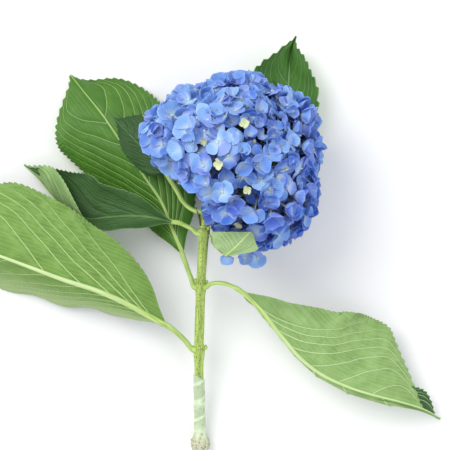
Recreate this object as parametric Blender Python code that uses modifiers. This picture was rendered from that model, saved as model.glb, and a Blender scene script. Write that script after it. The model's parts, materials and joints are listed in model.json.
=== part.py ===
"""Cut hydrangea, lying on a table.

One mophead on its stem: seven leaves on their stalks, the branches inside the head,
a clear film round the cut end, and the four-lobed florets that make the ball.
Lengths below are millimetres. The stem runs along +Y, the table is z = 0, and the
origin is under the middle of the flower's outline.
"""

import math

import bmesh
import bpy
import numpy as np
from mathutils import Quaternion, Vector

MM = 0.001
PARTS = "cut_hydrangea"
TOOLS = "cut_hydrangea_tools"

# The gap left between pieces that touch, and how low a blade's middle may lie.
GAP = 0.3
TABLE_CLEAR = 0.55
BLADE_FLOOR = 0.05

# Moves the finished flower so that its outline is centred on the origin.
CENTRING = (1.3, 2.4, 0)

# Stem: the ends of its centre line, its radius, and how far up each leaf joint swells.
STEM_FOOT = np.array((13.6, -168.5, 6.4))
STEM_TOP = np.array((18.0, 24.0, 55.0))
STEM_RADIUS = 3.8
STEM_POINTS = 28
STEM_JOINTS = (81.0, 137.0, 182.0)
JOINT_SWELL = 0.8
JOINT_REACH = 5.0

# Film wound round the foot of the stem: distances up the stem and outer radii, top to foot.
FILM_WALL = 0.5
FILM_OUTSIDE = ((62, 4.9), (20, 4.9), (13, 5.3), (8, 7.0), (2, 7.0), (-2, 5.4))
FILM_STEPS = 16

# Leaf blades and stalks.
BLADE_THICKNESS = 0.8
# A blade is never thicker than this share of its width.
BLADE_SLIMMEST = 0.33
STALK_RADIUS = 2.0
STALK_FOOT_RADIUS = 2.7
RIB_HEIGHT = 1.2
BLADE_RINGS = 16
STALK_RINGS = 6
ACROSS = 2
STALK_STEP = math.radians(40)
# The half width of a blade along its rib, as a share of its widest place.
OVATE = (
    (0, 0.04),
    (0.05, 0.15),
    (0.125, 0.38),
    (0.25, 0.67),
    (0.375, 0.87),
    (0.5, 0.97),
    (0.6, 1),
    (0.75, 0.91),
    (0.86, 0.62),
    (0.925, 0.3),
    (0.96, 0.13),
    (1, 0.02),
)
OVATE_WIDEST = 0.6

# Each leaf: the middle line of its stalk, from the stem to the blade; its rib, from there to
# the tip; the half width of the blade, and where along the rib that is; and how far each half
# slopes up (+) or down (-) from the rib, in degrees, at even steps from base to tip. "bend"
# rolls each half's edge down (+) or up (-). "left_share" and "right_share" narrow or widen a
# half, "face" says which side of the blade is up, and a trimmed blade gives the width of each
# half itself, as "left_reach" and "right_reach", measured in the direction "across".
LEAVES = {
    "leaf_middle_left": {
        "stalk": ((12, -36, 39), (8, -28, 36), (3, -16.5, 32), (-1, -7, 28)),
        "rib": (
            (-1, -7, 28),
            (-9, 11, 24),
            (-17, 31, 23),
            (-32, 54, 23),
            (-52, 83.5, 22),
            (-67, 105, 18),
            (-80.5, 121.5, 12),
            (-92.5, 136.5, 5),
        ),
        "half_width": 45,
        "widest": 0.62,
        "left": (-42, -36, -34, -26, -8, 6, 6),
        "right": (-14, -14, -10, -8, -14, -36, -66),
        "bend": 8,
    },
    "leaf_upper_left": {
        "stalk": ((14, 7, 51), (8.5, 10.5, 47), (2.5, 13.5, 42), (-4, 16, 37), (-9, 16.5, 34)),
        "rib": (
            (-9, 16.5, 34),
            (-19, 19, 31),
            (-37, 21.5, 26),
            (-60, 20.5, 20),
            (-77.5, 19, 17),
            (-93, 25.5, 15),
            (-107, 39, 14),
            (-118, 52, 14),
            (-129.5, 62.5, 16),
        ),
        "half_width": 34,
        "widest": 0.58,
        "left": (50, 56, 60, 68, 88, 108, 127, 142, 150),
        "left_share": (1, 1, 1, 1, 1, 1, 0.98, 0.95, 1),
        "right": (60, 54, 44, 36, 30, 26, 30, 42, 56),
        "right_share": (1, 1, 0.98, 1.04, 1.1, 1.12, 0.95, 0.8, 0.8),
        "bend": -22,
    },
    "leaf_lower_left": {
        "stalk": ((10, -86, 26), (4, -79, 32), (-5, -71, 41), (-15, -64, 48)),
        "rib": (
            (-15, -64, 48),
            (-32, -54.5, 53),
            (-52, -44, 57),
            (-69, -37, 58),
            (-94, -29, 58),
            (-120, -19.5, 56),
            (-145, -10.5, 52),
            (-177, -0.5, 40),
            (-212, 13, 14),
        ),
        "half_width": 60,
        "widest": 0.57,
        "left": (-60, -65, -66, -65, -62, -58, -50),
        "right": (16, 4, -4, -6, -14, -24, -30),
        "bend": 12,
        "face": "under",
    },
    "leaf_middle_right": {
        "stalk": ((20, -35.5, 42), (24, -33, 46), (30, -32, 49), (40, -34.5, 50), (50.5, -41.5, 48)),
        "rib": (
            (50.5, -41.5, 48),
            (60, -51.5, 46),
            (71, -65, 45),
            (81.5, -78.5, 45),
            (93, -91.5, 44),
            (106, -102.5, 43),
            (125.5, -113, 41),
            (149.5, -121.5, 38),
            (174, -128, 32),
            (194.5, -135, 20),
            (209.5, -143.5, 6),
        ),
        "half_width": 58,
        "widest": 0.57,
        "left": (-25, -28, -14, -6, -12, -18, -16, -20, -22, -10),
        "left_share": (1, 1, 1, 1, 1, 1, 1, 0.95, 0.5, 0.6),
        "right": (-70, -112, -134, -138, -138, -136, -130, -115, -85, -50),
        "bend": 10,
        "face": "under",
    },
    "leaf_top_right": {
        "stalk": ((21.5, 20.5, 54), (27, 23, 49), (31.5, 29, 32), (34.5, 36, 11), (39.5, 42.5, 3.4)),
        "rib": (
            (39.5, 42.5, 3.4),
            (54, 63, 1.5),
            (68.5, 90, 1.4),
            (79.5, 112, 2.5),
            (85, 125, 5),
            (86, 137.5, 8),
            (86.5, 146, 11),
            (87.5, 156.5, 16),
            (91, 166.5, 24),
        ),
        "half_width": 37,
        "widest": 0.54,
        "left": (0, 0, 0, 0, 6, 38, 66),
        "right": (0, 0, 0, 16, 40, 58, 70),
        "bend": 0,
    },
    "leaf_top_left": {
        "stalk": ((14.5, 24.5, 56), (6.5, 27, 52), (0, 33, 47), (-4.5, 41, 43), (-14.5, 57, 40)),
        "rib": ((-14.5, 57, 40), (-26.5, 70, 38), (-40.5, 84.5, 34), (-56, 100.5, 28)),
        "half_width": 27,
        "widest": 0.42,
        "left": (-10, -15, -18, -20, -22, -26, -30),
        "left_share": (0.7, 0.65, 0.6, 0.55, 0.5, 0.45, 0.4),
        "right": (-5, -5, -5, -5, -5, -20, -50),
        "bend": 8,
    },
    "leaf_upper_right_trimmed": {
        "stalk": ((21, 6, 52), (24, 0, 62), (29, -6, 77), (34.4, -9.7, 92)),
        "rib": ((34.4, -9.7, 92), (41, -3.8, 95), (47.1, 2.4, 98), (53.3, 8.8, 101)),
        "across": (-1, 0, 0),
        "left": (-8, -14, -18, -20),
        "left_reach": (1.5, 7, 16.6, 21, 25, 28.5, 31.6),
        "right": (4, 10, 16, 20),
        "right_reach": (5, 16, 18.6, 14.3, 9.8, 5.6, 1.6),
        "bend": 6,
        "face": "under",
    },
}

# Head: its middle, and the branches that carry its domes of florets. Each branch is a
# direction from the middle, as degrees round from +X and degrees up from the table, and
# the distance at which its outermost floret stands.
HEAD_MIDDLE = np.array((40.0, 62.5, 72.5))
NECK_LENGTH = 9.0
NECK_RADIUS = 3.0
BRANCH_RADII = (1.9, 1.2)
KNOT_RADIUS = 4.5
DOME_RADIUS = 33.0
BRANCHES = (
    (158, 6, 80),
    (120, 4, 73),
    (82, 0, 73),
    (42, 0, 76),
    (4, 0, 74),
    (-34, 0, 79),
    (-62, -4, 77),
    (-80, -16, 77),
    (140, 50, 71),
    (78, 46, 71),
    (16, 44, 72),
    (-42, 44, 73),
    (196, 64, 66),
    (-122, 62, 69),
    (60, 86, 70),
    (118, -46, 70),
    (56, -44, 70),
    (0, -44, 70),
    (-52, -46, 68),
    (50, -84, 69.2),
)
# Florets: candidates spread evenly round the head, kept where a branch reaches them and
# left out where the stem comes in and where the trimmed leaf presses on the head.
CANDIDATES = 54
BRANCH_SPREAD = math.radians(31)
PRESSED_WAY = (-88, 24)
PRESSED_SPREAD = math.radians(27)
STEM_SPREAD = math.radians(20)
UNDER_SPREAD = math.radians(48)
FLORET_RADIUS = 17.0
SEPALS = 4
# Round one sepal: degrees from the middle of the notch before it, and the share of the radius.
SEPAL_OUTLINE = ((0, 0.4), (19, 0.88), (45, 1), (71, 0.88))
SEPAL_THICKNESS = 0.7
SEPAL_DROOP = 1.6
PEDICEL_RADIUS = 0.8
EYE_RADIUS = 1.6
EYE_HEIGHT = 0.9
SPIN_STEP = 1.9


def material(name, colour, roughness):
    made = bpy.data.materials.new(name)
    made.use_nodes = True
    shader = made.node_tree.nodes["Principled BSDF"]
    shader.inputs["Base Color"].default_value = (*colour, 1)
    shader.inputs["Roughness"].default_value = roughness
    return made


def collection(name):
    made = bpy.data.collections.new(name)
    bpy.context.scene.collection.children.link(made)
    return made


def place(obj, home, finish=None):
    home.objects.link(obj)
    if finish:
        obj.data.materials.append(finish)
    return obj


def unit(vector):
    return vector / np.linalg.norm(vector)


def smooth(knots, values, at):
    """Values of a smooth curve that passes through the given values at the given knots."""
    knots = np.asarray(knots, float)
    values = np.asarray(values, float).reshape(len(knots), -1)
    slopes = np.gradient(values, knots, axis=0)
    at = np.atleast_1d(at)
    first = np.clip(np.searchsorted(knots, at, side="right") - 1, 0, len(knots) - 2)
    width = (knots[first + 1] - knots[first])[:, None]
    u = (at - knots[first])[:, None] / width
    return (
        (2 * u**3 - 3 * u**2 + 1) * values[first]
        + (u**3 - 2 * u**2 + u) * width * slopes[first]
        + (3 * u**2 - 2 * u**3) * values[first + 1]
        + (u**3 - u**2) * width * slopes[first + 1]
    )


def along(points, at):
    """Points at shares of the length of a smooth line through the given points."""
    points = np.asarray(points, float)
    steps = np.linalg.norm(np.diff(points, axis=0), axis=1)
    return smooth(np.r_[0, np.cumsum(steps)] / steps.sum(), points, at)


def spaced(values, at):
    """Values given at even steps from 0 to 1, read at other places."""
    return smooth(np.linspace(0, 1, len(values)), values, at)[:, 0]


def loft(name, rings, home, finish):
    """A closed body through rings of equally many points, capped at both ends.

    The second half of each ring is split the other way, so that the two faces of a blade,
    whose rings go out along one face and back along the other, twist alike.
    """
    mesh = bmesh.new()
    rows = [[mesh.verts.new(Vector(point) * MM) for point in ring] for ring in rings]
    for row, after in zip(rows[:-1], rows[1:]):
        for i in range(len(row)):
            j = (i + 1) % len(row)
            if i < len(row) / 2:
                mesh.faces.new((row[i], row[j], after[j]))
                mesh.faces.new((row[i], after[j], after[i]))
            else:
                mesh.faces.new((row[i], row[j], after[i]))
                mesh.faces.new((row[j], after[j], after[i]))
    mesh.faces.new(rows[0])
    mesh.faces.new(rows[-1])
    bmesh.ops.recalc_face_normals(mesh, faces=mesh.faces)
    data = bpy.data.meshes.new(name)
    mesh.to_mesh(data)
    mesh.free()
    data.shade_smooth()
    return place(bpy.data.objects.new(name, data), home, finish)


STEM_WAY = unit(STEM_TOP - STEM_FOOT)
STEM_LENGTH = np.linalg.norm(STEM_TOP - STEM_FOOT)


def stem_radius(up):
    """The stem's radius at a distance up its centre line, with its swollen leaf joints."""
    swell = sum(math.exp(-(((up - joint) / JOINT_REACH) ** 2)) for joint in STEM_JOINTS)
    return STEM_RADIUS + JOINT_SWELL * swell


def stem(home, finish):
    curve = bpy.data.curves.new("stem", "CURVE")
    curve.dimensions = "3D"
    curve.bevel_depth = MM
    curve.bevel_resolution = 3
    curve.use_fill_caps = True
    line = curve.splines.new("POLY")
    line.points.add(STEM_POINTS - 1)
    for point, up in zip(line.points, np.linspace(0, STEM_LENGTH, STEM_POINTS)):
        point.co = (*((STEM_FOOT + STEM_WAY * up) * MM), 1)
        point.radius = stem_radius(up)
    place(bpy.data.objects.new("stem", curve), home, finish)


def film(home, finish):
    """A sleeve turned about the stem, flared where it is gathered over the cut end."""
    inner = STEM_RADIUS + GAP
    inside = [(up, max(inner, radius - FILM_WALL)) for up, radius in reversed(FILM_OUTSIDE)]
    profile = [(radius * MM, 0, up * MM) for up, radius in (*FILM_OUTSIDE, *inside)]
    edges = [(i, (i + 1) % len(profile)) for i in range(len(profile))]
    data = bpy.data.meshes.new("stem_film")
    data.from_pydata(profile, edges, [])
    obj = place(bpy.data.objects.new("stem_film", data), home, finish)
    turn = obj.modifiers.new("turn", "SCREW")
    turn.steps = turn.render_steps = FILM_STEPS
    turn.use_merge_vertices = True
    turn.merge_threshold = 0.00001
    obj.location = STEM_FOOT * MM
    obj.rotation_mode = "QUATERNION"
    obj.rotation_quaternion = Vector(STEM_WAY).to_track_quat("Z", "Y")


def seat_on_stem(point):
    """(where a stalk that starts at point meets the stem, the way straight out of it)"""
    up = (point - STEM_FOOT) @ STEM_WAY
    middle = STEM_FOOT + STEM_WAY * up
    out = unit(point - middle)
    return middle + out * (stem_radius(up) + GAP), out


def ovate(leaf, at):
    """Half the width of a leaf at shares of the length of its rib."""
    turn = math.log(OVATE_WIDEST) / math.log(leaf["widest"])
    places, shares = zip(*OVATE)
    return leaf["half_width"] * smooth(places, shares, at**turn)[:, 0]


def blade_grid(leaf):
    """Points of the blade's middle surface, rib included, and the half width at each ring."""
    at = np.linspace(0, 1, BLADE_RINGS)
    rib = along(leaf["rib"], at)
    way = np.gradient(rib, axis=0)
    way[:, 2] = 0
    way /= np.linalg.norm(way, axis=1)[:, None]
    left_way = np.stack((-way[:, 1], way[:, 0], np.zeros(BLADE_RINGS)), axis=1)
    if "across" in leaf:
        left_way[:] = leaf["across"]
    grid = np.repeat(rib[:, None], 2 * ACROSS + 1, axis=1)
    for side, key in ((1, "left"), (-1, "right")):
        slope = spaced(leaf[key], at)
        if key + "_reach" in leaf:
            reach = spaced(leaf[key + "_reach"], at)
        else:
            reach = ovate(leaf, at) * spaced(leaf.get(key + "_share", (1, 1)), at)
        for step in range(1, ACROSS + 1):
            before = grid[:, ACROSS + side * (step - 1)]
            middle = (step - 0.5) / ACROSS
            angle = np.radians(slope + leaf["bend"] * (1 - 2 * middle))[:, None]
            run = (reach / ACROSS)[:, None]
            grid[:, ACROSS + side * step] = (
                before
                + side * left_way * run * np.cos(angle)
                + np.array((0, 0, 1)) * run * np.sin(angle)
            )
    grid[..., 2] = np.maximum(grid[..., 2], TABLE_CLEAR)
    return grid


def blade_rings(grid, rib_up):
    """The blade as closed sections of even thickness, with the rib standing out below it."""
    facing = np.cross(np.gradient(grid, axis=0), np.gradient(grid, axis=1))
    facing /= np.linalg.norm(facing, axis=2)[..., None]
    rings = []
    for number, (points, ways) in enumerate(zip(grid, facing)):
        width = np.linalg.norm(points[-1] - points[0])
        over = np.full(len(points), min(BLADE_THICKNESS, width * BLADE_SLIMMEST) / 2)
        under = over.copy()
        rib = over if rib_up else under
        rib[ACROSS] += RIB_HEIGHT * (1 - number / (BLADE_RINGS - 1))
        top = points + ways * over[:, None]
        bottom = points - ways * under[:, None]
        bottom[:, 2] = np.maximum(bottom[:, 2], BLADE_FLOOR)
        rings.append(np.vstack((top, bottom[::-1])))
    return rings


def stalk_rings(leaf, grid):
    """Round sections from the stem to the blade's base, in the order of the blade's own."""
    line = [np.array(point, float) for point in leaf["stalk"]]
    line[0], out = seat_on_stem(line[0])
    at = np.linspace(0, 1, STALK_RINGS, endpoint=False)
    points = along(line, at)
    after = along(line, at + 0.5 / STALK_RINGS)
    ways = [unit(b - a) for a, b in zip(points, after)]
    ways[0] = out
    side = unit(grid[0, -1] - grid[0, 0])
    rings = []
    for number in reversed(range(STALK_RINGS)):
        side = unit(side - ways[number] * (side @ ways[number]))
        up = np.cross(ways[number], side)
        radius = STALK_FOOT_RADIUS if number == 0 else STALK_RADIUS
        turns = [STALK_STEP * step for step in range(-ACROSS, ACROSS + 1)]
        top = [points[number] + radius * (side * math.sin(a) + up * math.cos(a)) for a in turns]
        low = [points[number] + radius * (side * math.sin(a) - up * math.cos(a)) for a in turns]
        rings.append(np.array(top + low[::-1]))
    return rings[::-1]


def leaf_body(name, leaf, home, finish):
    grid = blade_grid(leaf)
    blade = blade_rings(grid, leaf.get("face") == "under")
    loft(name, stalk_rings(leaf, grid) + blade, home, finish)


def way_of(round_from_x, up_from_table):
    turn, lift = math.radians(round_from_x), math.radians(up_from_table)
    return np.array((math.cos(turn) * math.cos(lift), math.sin(turn) * math.cos(lift), math.sin(lift)))


def knots():
    """The end of each branch, where the stalks of its florets start."""
    return [HEAD_MIDDLE + way_of(turn, lift) * (reach - DOME_RADIUS) for turn, lift, reach in BRANCHES]


def rod(name, start, end, radii, home):
    """A tapered rod between two points, with closed ends."""
    mesh = bmesh.new()
    length = np.linalg.norm(end - start)
    bmesh.ops.create_cone(
        mesh,
        cap_ends=True,
        segments=8,
        radius1=radii[0] * MM,
        radius2=radii[1] * MM,
        depth=length * MM,
    )
    data = bpy.data.meshes.new(name)
    mesh.to_mesh(data)
    mesh.free()
    obj = place(bpy.data.objects.new(name, data), home)
    obj.location = (start + end) / 2 * MM
    obj.rotation_mode = "QUATERNION"
    obj.rotation_quaternion = Vector(end - start).to_track_quat("Z", "Y")
    return obj


def ball(name, middle, radius, home):
    mesh = bmesh.new()
    bmesh.ops.create_icosphere(mesh, subdivisions=2, radius=radius * MM)
    data = bpy.data.meshes.new(name)
    mesh.to_mesh(data)
    mesh.free()
    obj = place(bpy.data.objects.new(name, data), home)
    obj.location = middle * MM
    return obj


def branches(home, tools, finish):
    """The neck above the stem, joined with every branch and the knot at its end."""
    start = STEM_TOP + STEM_WAY * GAP
    fork = start + STEM_WAY * NECK_LENGTH
    neck = rod("flower_branches", start, fork, (NECK_RADIUS, NECK_RADIUS), home)
    neck.data.materials.append(finish)
    ball("fork", fork, KNOT_RADIUS, tools)
    for number, knot in enumerate(knots()):
        rod(f"branch_{number}", fork, knot, BRANCH_RADII, tools)
        ball(f"knot_{number}", knot, KNOT_RADIUS, tools)
    for tool in tools.objects:
        tool.hide_render = True
        tool.display_type = "WIRE"
    join = neck.modifiers.new("join", "BOOLEAN")
    join.operation = "UNION"
    join.operand_type = "COLLECTION"
    join.collection = tools
    join.use_self = True


def floret_ring(height, radius=None):
    """A ring of the floret: round if a radius is given, else the outline of its sepals."""
    ring = []
    for sepal in range(SEPALS):
        for turn, share in SEPAL_OUTLINE:
            angle = math.radians(360 / SEPALS * sepal + turn)
            reach = radius or FLORET_RADIUS * share
            ring.append((reach * math.cos(angle), reach * math.sin(angle), height))
    return ring


def floret_mesh(home, finish):
    """One floret on its stalk: its foot at the origin, its face towards +Z."""
    face = DOME_RADIUS - KNOT_RADIUS - GAP
    edge = face - SEPAL_DROOP
    rings = (
        floret_ring(0, PEDICEL_RADIUS),
        floret_ring(face - SEPAL_THICKNESS, EYE_RADIUS),
        floret_ring(edge - SEPAL_THICKNESS / 2),
        floret_ring(edge + SEPAL_THICKNESS / 2),
        floret_ring(face, EYE_RADIUS),
        floret_ring(face + EYE_HEIGHT, EYE_RADIUS / 2),
    )
    first = loft("floret", rings, home, finish)
    data = first.data
    bpy.data.objects.remove(first)
    return data


def floret_ways():
    """(the knot that carries it, the way it faces) of each floret, spread over the head."""
    ends = knots()
    reaches = [unit(end - HEAD_MIDDLE) for end in ends]
    pressed = way_of(*PRESSED_WAY)
    stem_side = unit(STEM_TOP - HEAD_MIDDLE)
    golden = math.pi * (3 - math.sqrt(5))
    found = []
    flat = set()
    for number in range(CANDIDATES):
        height = 1 - 2 * (number + 0.5) / CANDIDATES
        ring = math.sqrt(1 - height * height)
        turn = golden * number
        way = np.array((ring * math.cos(turn), ring * math.sin(turn), height))
        nearest = max(range(len(ends)), key=lambda k: way @ reaches[k])
        blocked = way @ pressed > math.cos(PRESSED_SPREAD) or way @ stem_side > math.cos(STEM_SPREAD)
        if blocked or way @ reaches[nearest] < math.cos(BRANCH_SPREAD):
            continue
        offset = ends[nearest] - HEAD_MIDDLE
        ahead = way @ offset
        distance = ahead + math.sqrt(ahead**2 - offset @ offset + DOME_RADIUS**2)
        facing = unit(way * distance - offset)
        if nearest == len(ends) - 1 and -facing[2] > math.cos(UNDER_SPREAD):
            if nearest in flat:
                continue
            flat.add(nearest)
            facing = np.array((0, 0, -1))
        found.append((ends[nearest], facing))
    return found


def florets(home, finish):
    data = floret_mesh(home, finish)
    for number, (knot, facing) in enumerate(floret_ways(), start=1):
        obj = place(bpy.data.objects.new(f"floret_{number:02d}", data), home)
        obj.location = (knot + facing * (KNOT_RADIUS + GAP)) * MM
        obj.rotation_mode = "QUATERNION"
        spin = Quaternion((0, 0, 1), SPIN_STEP * number)
        obj.rotation_quaternion = Vector(facing).to_track_quat("Z", "Y") @ spin


def main():
    for obj in list(bpy.data.objects):
        bpy.data.objects.remove(obj)
    parts = collection(PARTS)
    tools = collection(TOOLS)
    stem(parts, material("green stem", (0.36, 0.52, 0.12), 0.5))
    film(parts, material("clear film", (0.72, 0.82, 0.66), 0.3))
    green = material("leaf", (0.10, 0.24, 0.04), 0.45)
    for name, leaf in LEAVES.items():
        leaf_body(name, leaf, parts, green)
    branches(parts, tools, material("branch", (0.45, 0.50, 0.30), 0.5))
    florets(parts, material("petal", (0.16, 0.30, 0.75), 0.6))
    for obj in (*parts.objects, *tools.objects):
        obj.location += Vector(CENTRING) * MM


main()
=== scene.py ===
"""Cut hydrangea, lying on a pale table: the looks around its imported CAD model.

Laid out as an add-on: property groups with the sizes and colours, one operator for each
piece or group of like pieces and one for the stage, and a panel that lists them.
Lengths in the tables are millimetres, measured as in the CAD model before its centring.
"""

import json
import math
from collections import namedtuple
from functools import partial

import bpy
import numpy as np
from bpy.props import FloatProperty, FloatVectorProperty, IntProperty, PointerProperty
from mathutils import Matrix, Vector

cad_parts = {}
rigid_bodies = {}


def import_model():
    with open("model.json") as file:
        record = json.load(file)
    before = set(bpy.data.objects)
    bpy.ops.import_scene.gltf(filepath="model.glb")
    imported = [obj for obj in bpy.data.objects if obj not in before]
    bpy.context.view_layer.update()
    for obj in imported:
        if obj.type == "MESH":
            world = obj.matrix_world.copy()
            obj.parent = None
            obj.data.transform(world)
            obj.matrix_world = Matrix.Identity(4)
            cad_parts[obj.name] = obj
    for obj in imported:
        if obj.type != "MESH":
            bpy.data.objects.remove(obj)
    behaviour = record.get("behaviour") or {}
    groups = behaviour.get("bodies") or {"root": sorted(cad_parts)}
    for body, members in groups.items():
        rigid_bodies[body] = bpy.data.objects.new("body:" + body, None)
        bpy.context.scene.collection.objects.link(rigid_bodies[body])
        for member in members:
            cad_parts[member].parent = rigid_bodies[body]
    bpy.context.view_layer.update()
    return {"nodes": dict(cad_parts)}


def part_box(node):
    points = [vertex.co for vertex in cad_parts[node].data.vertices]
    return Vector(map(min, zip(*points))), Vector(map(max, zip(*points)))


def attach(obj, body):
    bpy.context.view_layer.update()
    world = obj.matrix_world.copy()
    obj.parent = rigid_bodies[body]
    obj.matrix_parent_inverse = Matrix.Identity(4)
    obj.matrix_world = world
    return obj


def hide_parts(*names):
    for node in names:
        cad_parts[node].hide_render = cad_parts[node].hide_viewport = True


bl_info = {
    "name": "Cut Hydrangea",
    "version": (1, 0, 0),
    "blender": (4, 5, 0),
    "location": "View3D > Sidebar > Hydrangea",
    "description": "Makes the stem, film, leaves, branches and florets of a cut hydrangea",
    "category": "Add Mesh",
}

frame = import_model()

MM = 0.001
CENTRING = np.array((1.3, 2.4, 0.0))
UP = np.array((0.0, 0.0, 1.0))
# The lowest that any point may lie above the table.
TABLE_CLEAR = 0.35

# Stem: its centre line, radius and swollen leaf joints, as distances up from the cut end.
STEM_FOOT = np.array((13.6, -168.5, 6.4))
STEM_TOP = np.array((18.0, 24.0, 55.0))
STEM_RADIUS = 3.8
STEM_JOINTS = (81.0, 137.0, 182.0)
NECK_LENGTH = 9.3
# How far the stem bows sideways half way up, and how far from the stem that is felt.
STEM_BOW = 2.9
BOW_FADE = 26.0
# Rows of the stem's skin stand this far apart.
STEM_ROW = 1.2
# How far a joint swells and half how long that is; the ridge of its leaf scar, how far above
# the joint that lies and its half breadth; and how dark the scar on each joint is.
JOINT_SWELL, JOINT_HALF = 0.8, 5.0
SCAR_RIDGE, SCAR_UP, SCAR_HALF = 0.35, 3.2, 0.8
SCAR_DARKNESS = (0.4, 0.5, 0.9)
# The cut end's bevel.
CUT_BEVEL = 0.5
# The painted shade on the stem's upper flank fades in between these heights.
SHADED_FROM = (140, 176)
# Buds in the angles of the joints: distance up, degrees round, length, radius.
BUDS = ((84, -8, 4.6, 2.0), (141, 168, 3.6, 1.7), (140, 10, 3.4, 1.5), (185, 40, 3, 1.5))
# Withered bracts just under the head: distance up, degrees round, length, half breadth.
BRACTS = ((186, 150, 15, 1.7), (190, 200, 12, 1.7), (189, 20, 11, 1.7), (193, 95, 10, 1.7))
BRACT_THICKNESS = 0.28
# How deep the roots of buds and bracts lie in the stem.
BUD_ROOT = 0.8
BRACT_ROOT = 0.4

# Film wound round the stem's foot: from where to where it goes up the stem, the radius of
# its inner and outer faces, the rise of one turn, and the points round and along it.
FILM_FOOT = 7.0
FILM_TOP = 61.5
FILM_INNER = 4.12
FILM_OUTER = 4.55
FILM_TURN = 15.0
FILM_SIDES = 40
FILM_ROWS = 72
# The gathered wrap over the cut end: heights and radii of its outline, from the top down.
WRAP_HEIGHTS = (15, 12, 8.5, 5, 1.5, -1.5, -2.6, -2.8)
WRAP_RADII = (4.75, 5.3, 6.6, 7.1, 6.7, 5.2, 3.0, 0.6)
WRAP_ROWS = 30

# Leaf rows: the half width along the rib as a share of the widest, and where that lies.
OVATE = (
    (0, 0.04), (0.05, 0.15), (0.125, 0.38), (0.25, 0.67), (0.375, 0.87), (0.5, 0.97), (0.6, 1),
    (0.75, 0.91), (0.86, 0.62), (0.925, 0.3), (0.96, 0.13), (1, 0.02),
)
OVATE_WIDEST = 0.6
# Side veins: where each leaves the rib and where it meets the margin, as shares of the rib.
# A vein leaves the rib at a share of its mean slope, then curls towards the tip.
VEIN_STARTS = (0.02, 0.05, 0.09, 0.15, 0.23, 0.33, 0.44, 0.56, 0.69)
VEIN_ENDS = (0.36, 0.5, 0.62, 0.72, 0.81, 0.875, 0.925, 0.965, 0.99)
VEIN_START_SLOPE = 0.8
VEIN_CURL = 2.4
# The veins of the right half start this share of a vein later than those of the left half.
VEIN_OFFSET = 0.3
# Where a vein after the last one would leave the rib and meet the margin.
LAST_START = 0.93
LAST_END = 0.996
# Half width of a side vein at the rib, in mm.
VEIN_MM = 0.3
# The least and most that side veins count as being apart.
VEIN_GAPS = (2, 34)
# The most that the count of veins runs on beyond the first and last one, and how fast.
VEINS_BEYOND = 0.45
BEYOND_FADE = 0.03
# The gap between veins from which the tissue puffs up fully.
PUFF_GAP = 14.0
# The valley along a side vein: its depth and half width.
VALLEY_DEPTH = 0.4
VALLEY_HALF = 1.2
# The margin waves once in this length.
WAVE_LENGTH = 46.0
# A tooth takes four rows. How far each stands out and ahead, as shares of the tooth's depth
# and of the teeth's spacing, the mean of the first, and how fast teeth fade from the margin.
TOOTH_ROWS = 4
TOOTH_OUT = np.array((0.0, 0.42, 0.8, 1.0))
TOOTH_AHEAD = np.array((0.0, 0.0, 0.05, 0.2))
TOOTH_MEAN = 0.6
TOOTH_FADE = 9
# The least and most of the usual depth that a tooth has, and its most as a share of the reach.
TOOTH_SIZES = (0.7, 1.25)
TOOTH_MOST = 0.3
# Teeth grow to full size between these shares of the rib.
TOOTHED_FROM = (0.08, 0.2)
# The spacing of a blade's columns, its thickness and the least reach of a half.
COLUMN_MM = 1.4
BLADE_THICKNESS = 0.5
LEAST_REACH = 0.3
LEAF_SEED = 11
# Beside the rib of a folded half: the slope of the strip that lies flat and the breadth of
# the fold, and the place and half width of the painted shade in the crease where the half
# turns under.
LIP_SLOPE = 12.0
LIP_CURL = 3.5
FOLD_SHADE_OUT = 2.0
FOLD_SHADE_HALF = 0.55
# Points along and round a leaf stalk.
STALK_ROWS = 26
STALK_SIDES = 12
# How a rib tapers, how deep it lies in its blade and how pale it is, where a leaf does not say.
RIB_SLIM = 0.85
RIB_SUNK = 0.42
RIB_PALE = 0.55
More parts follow.
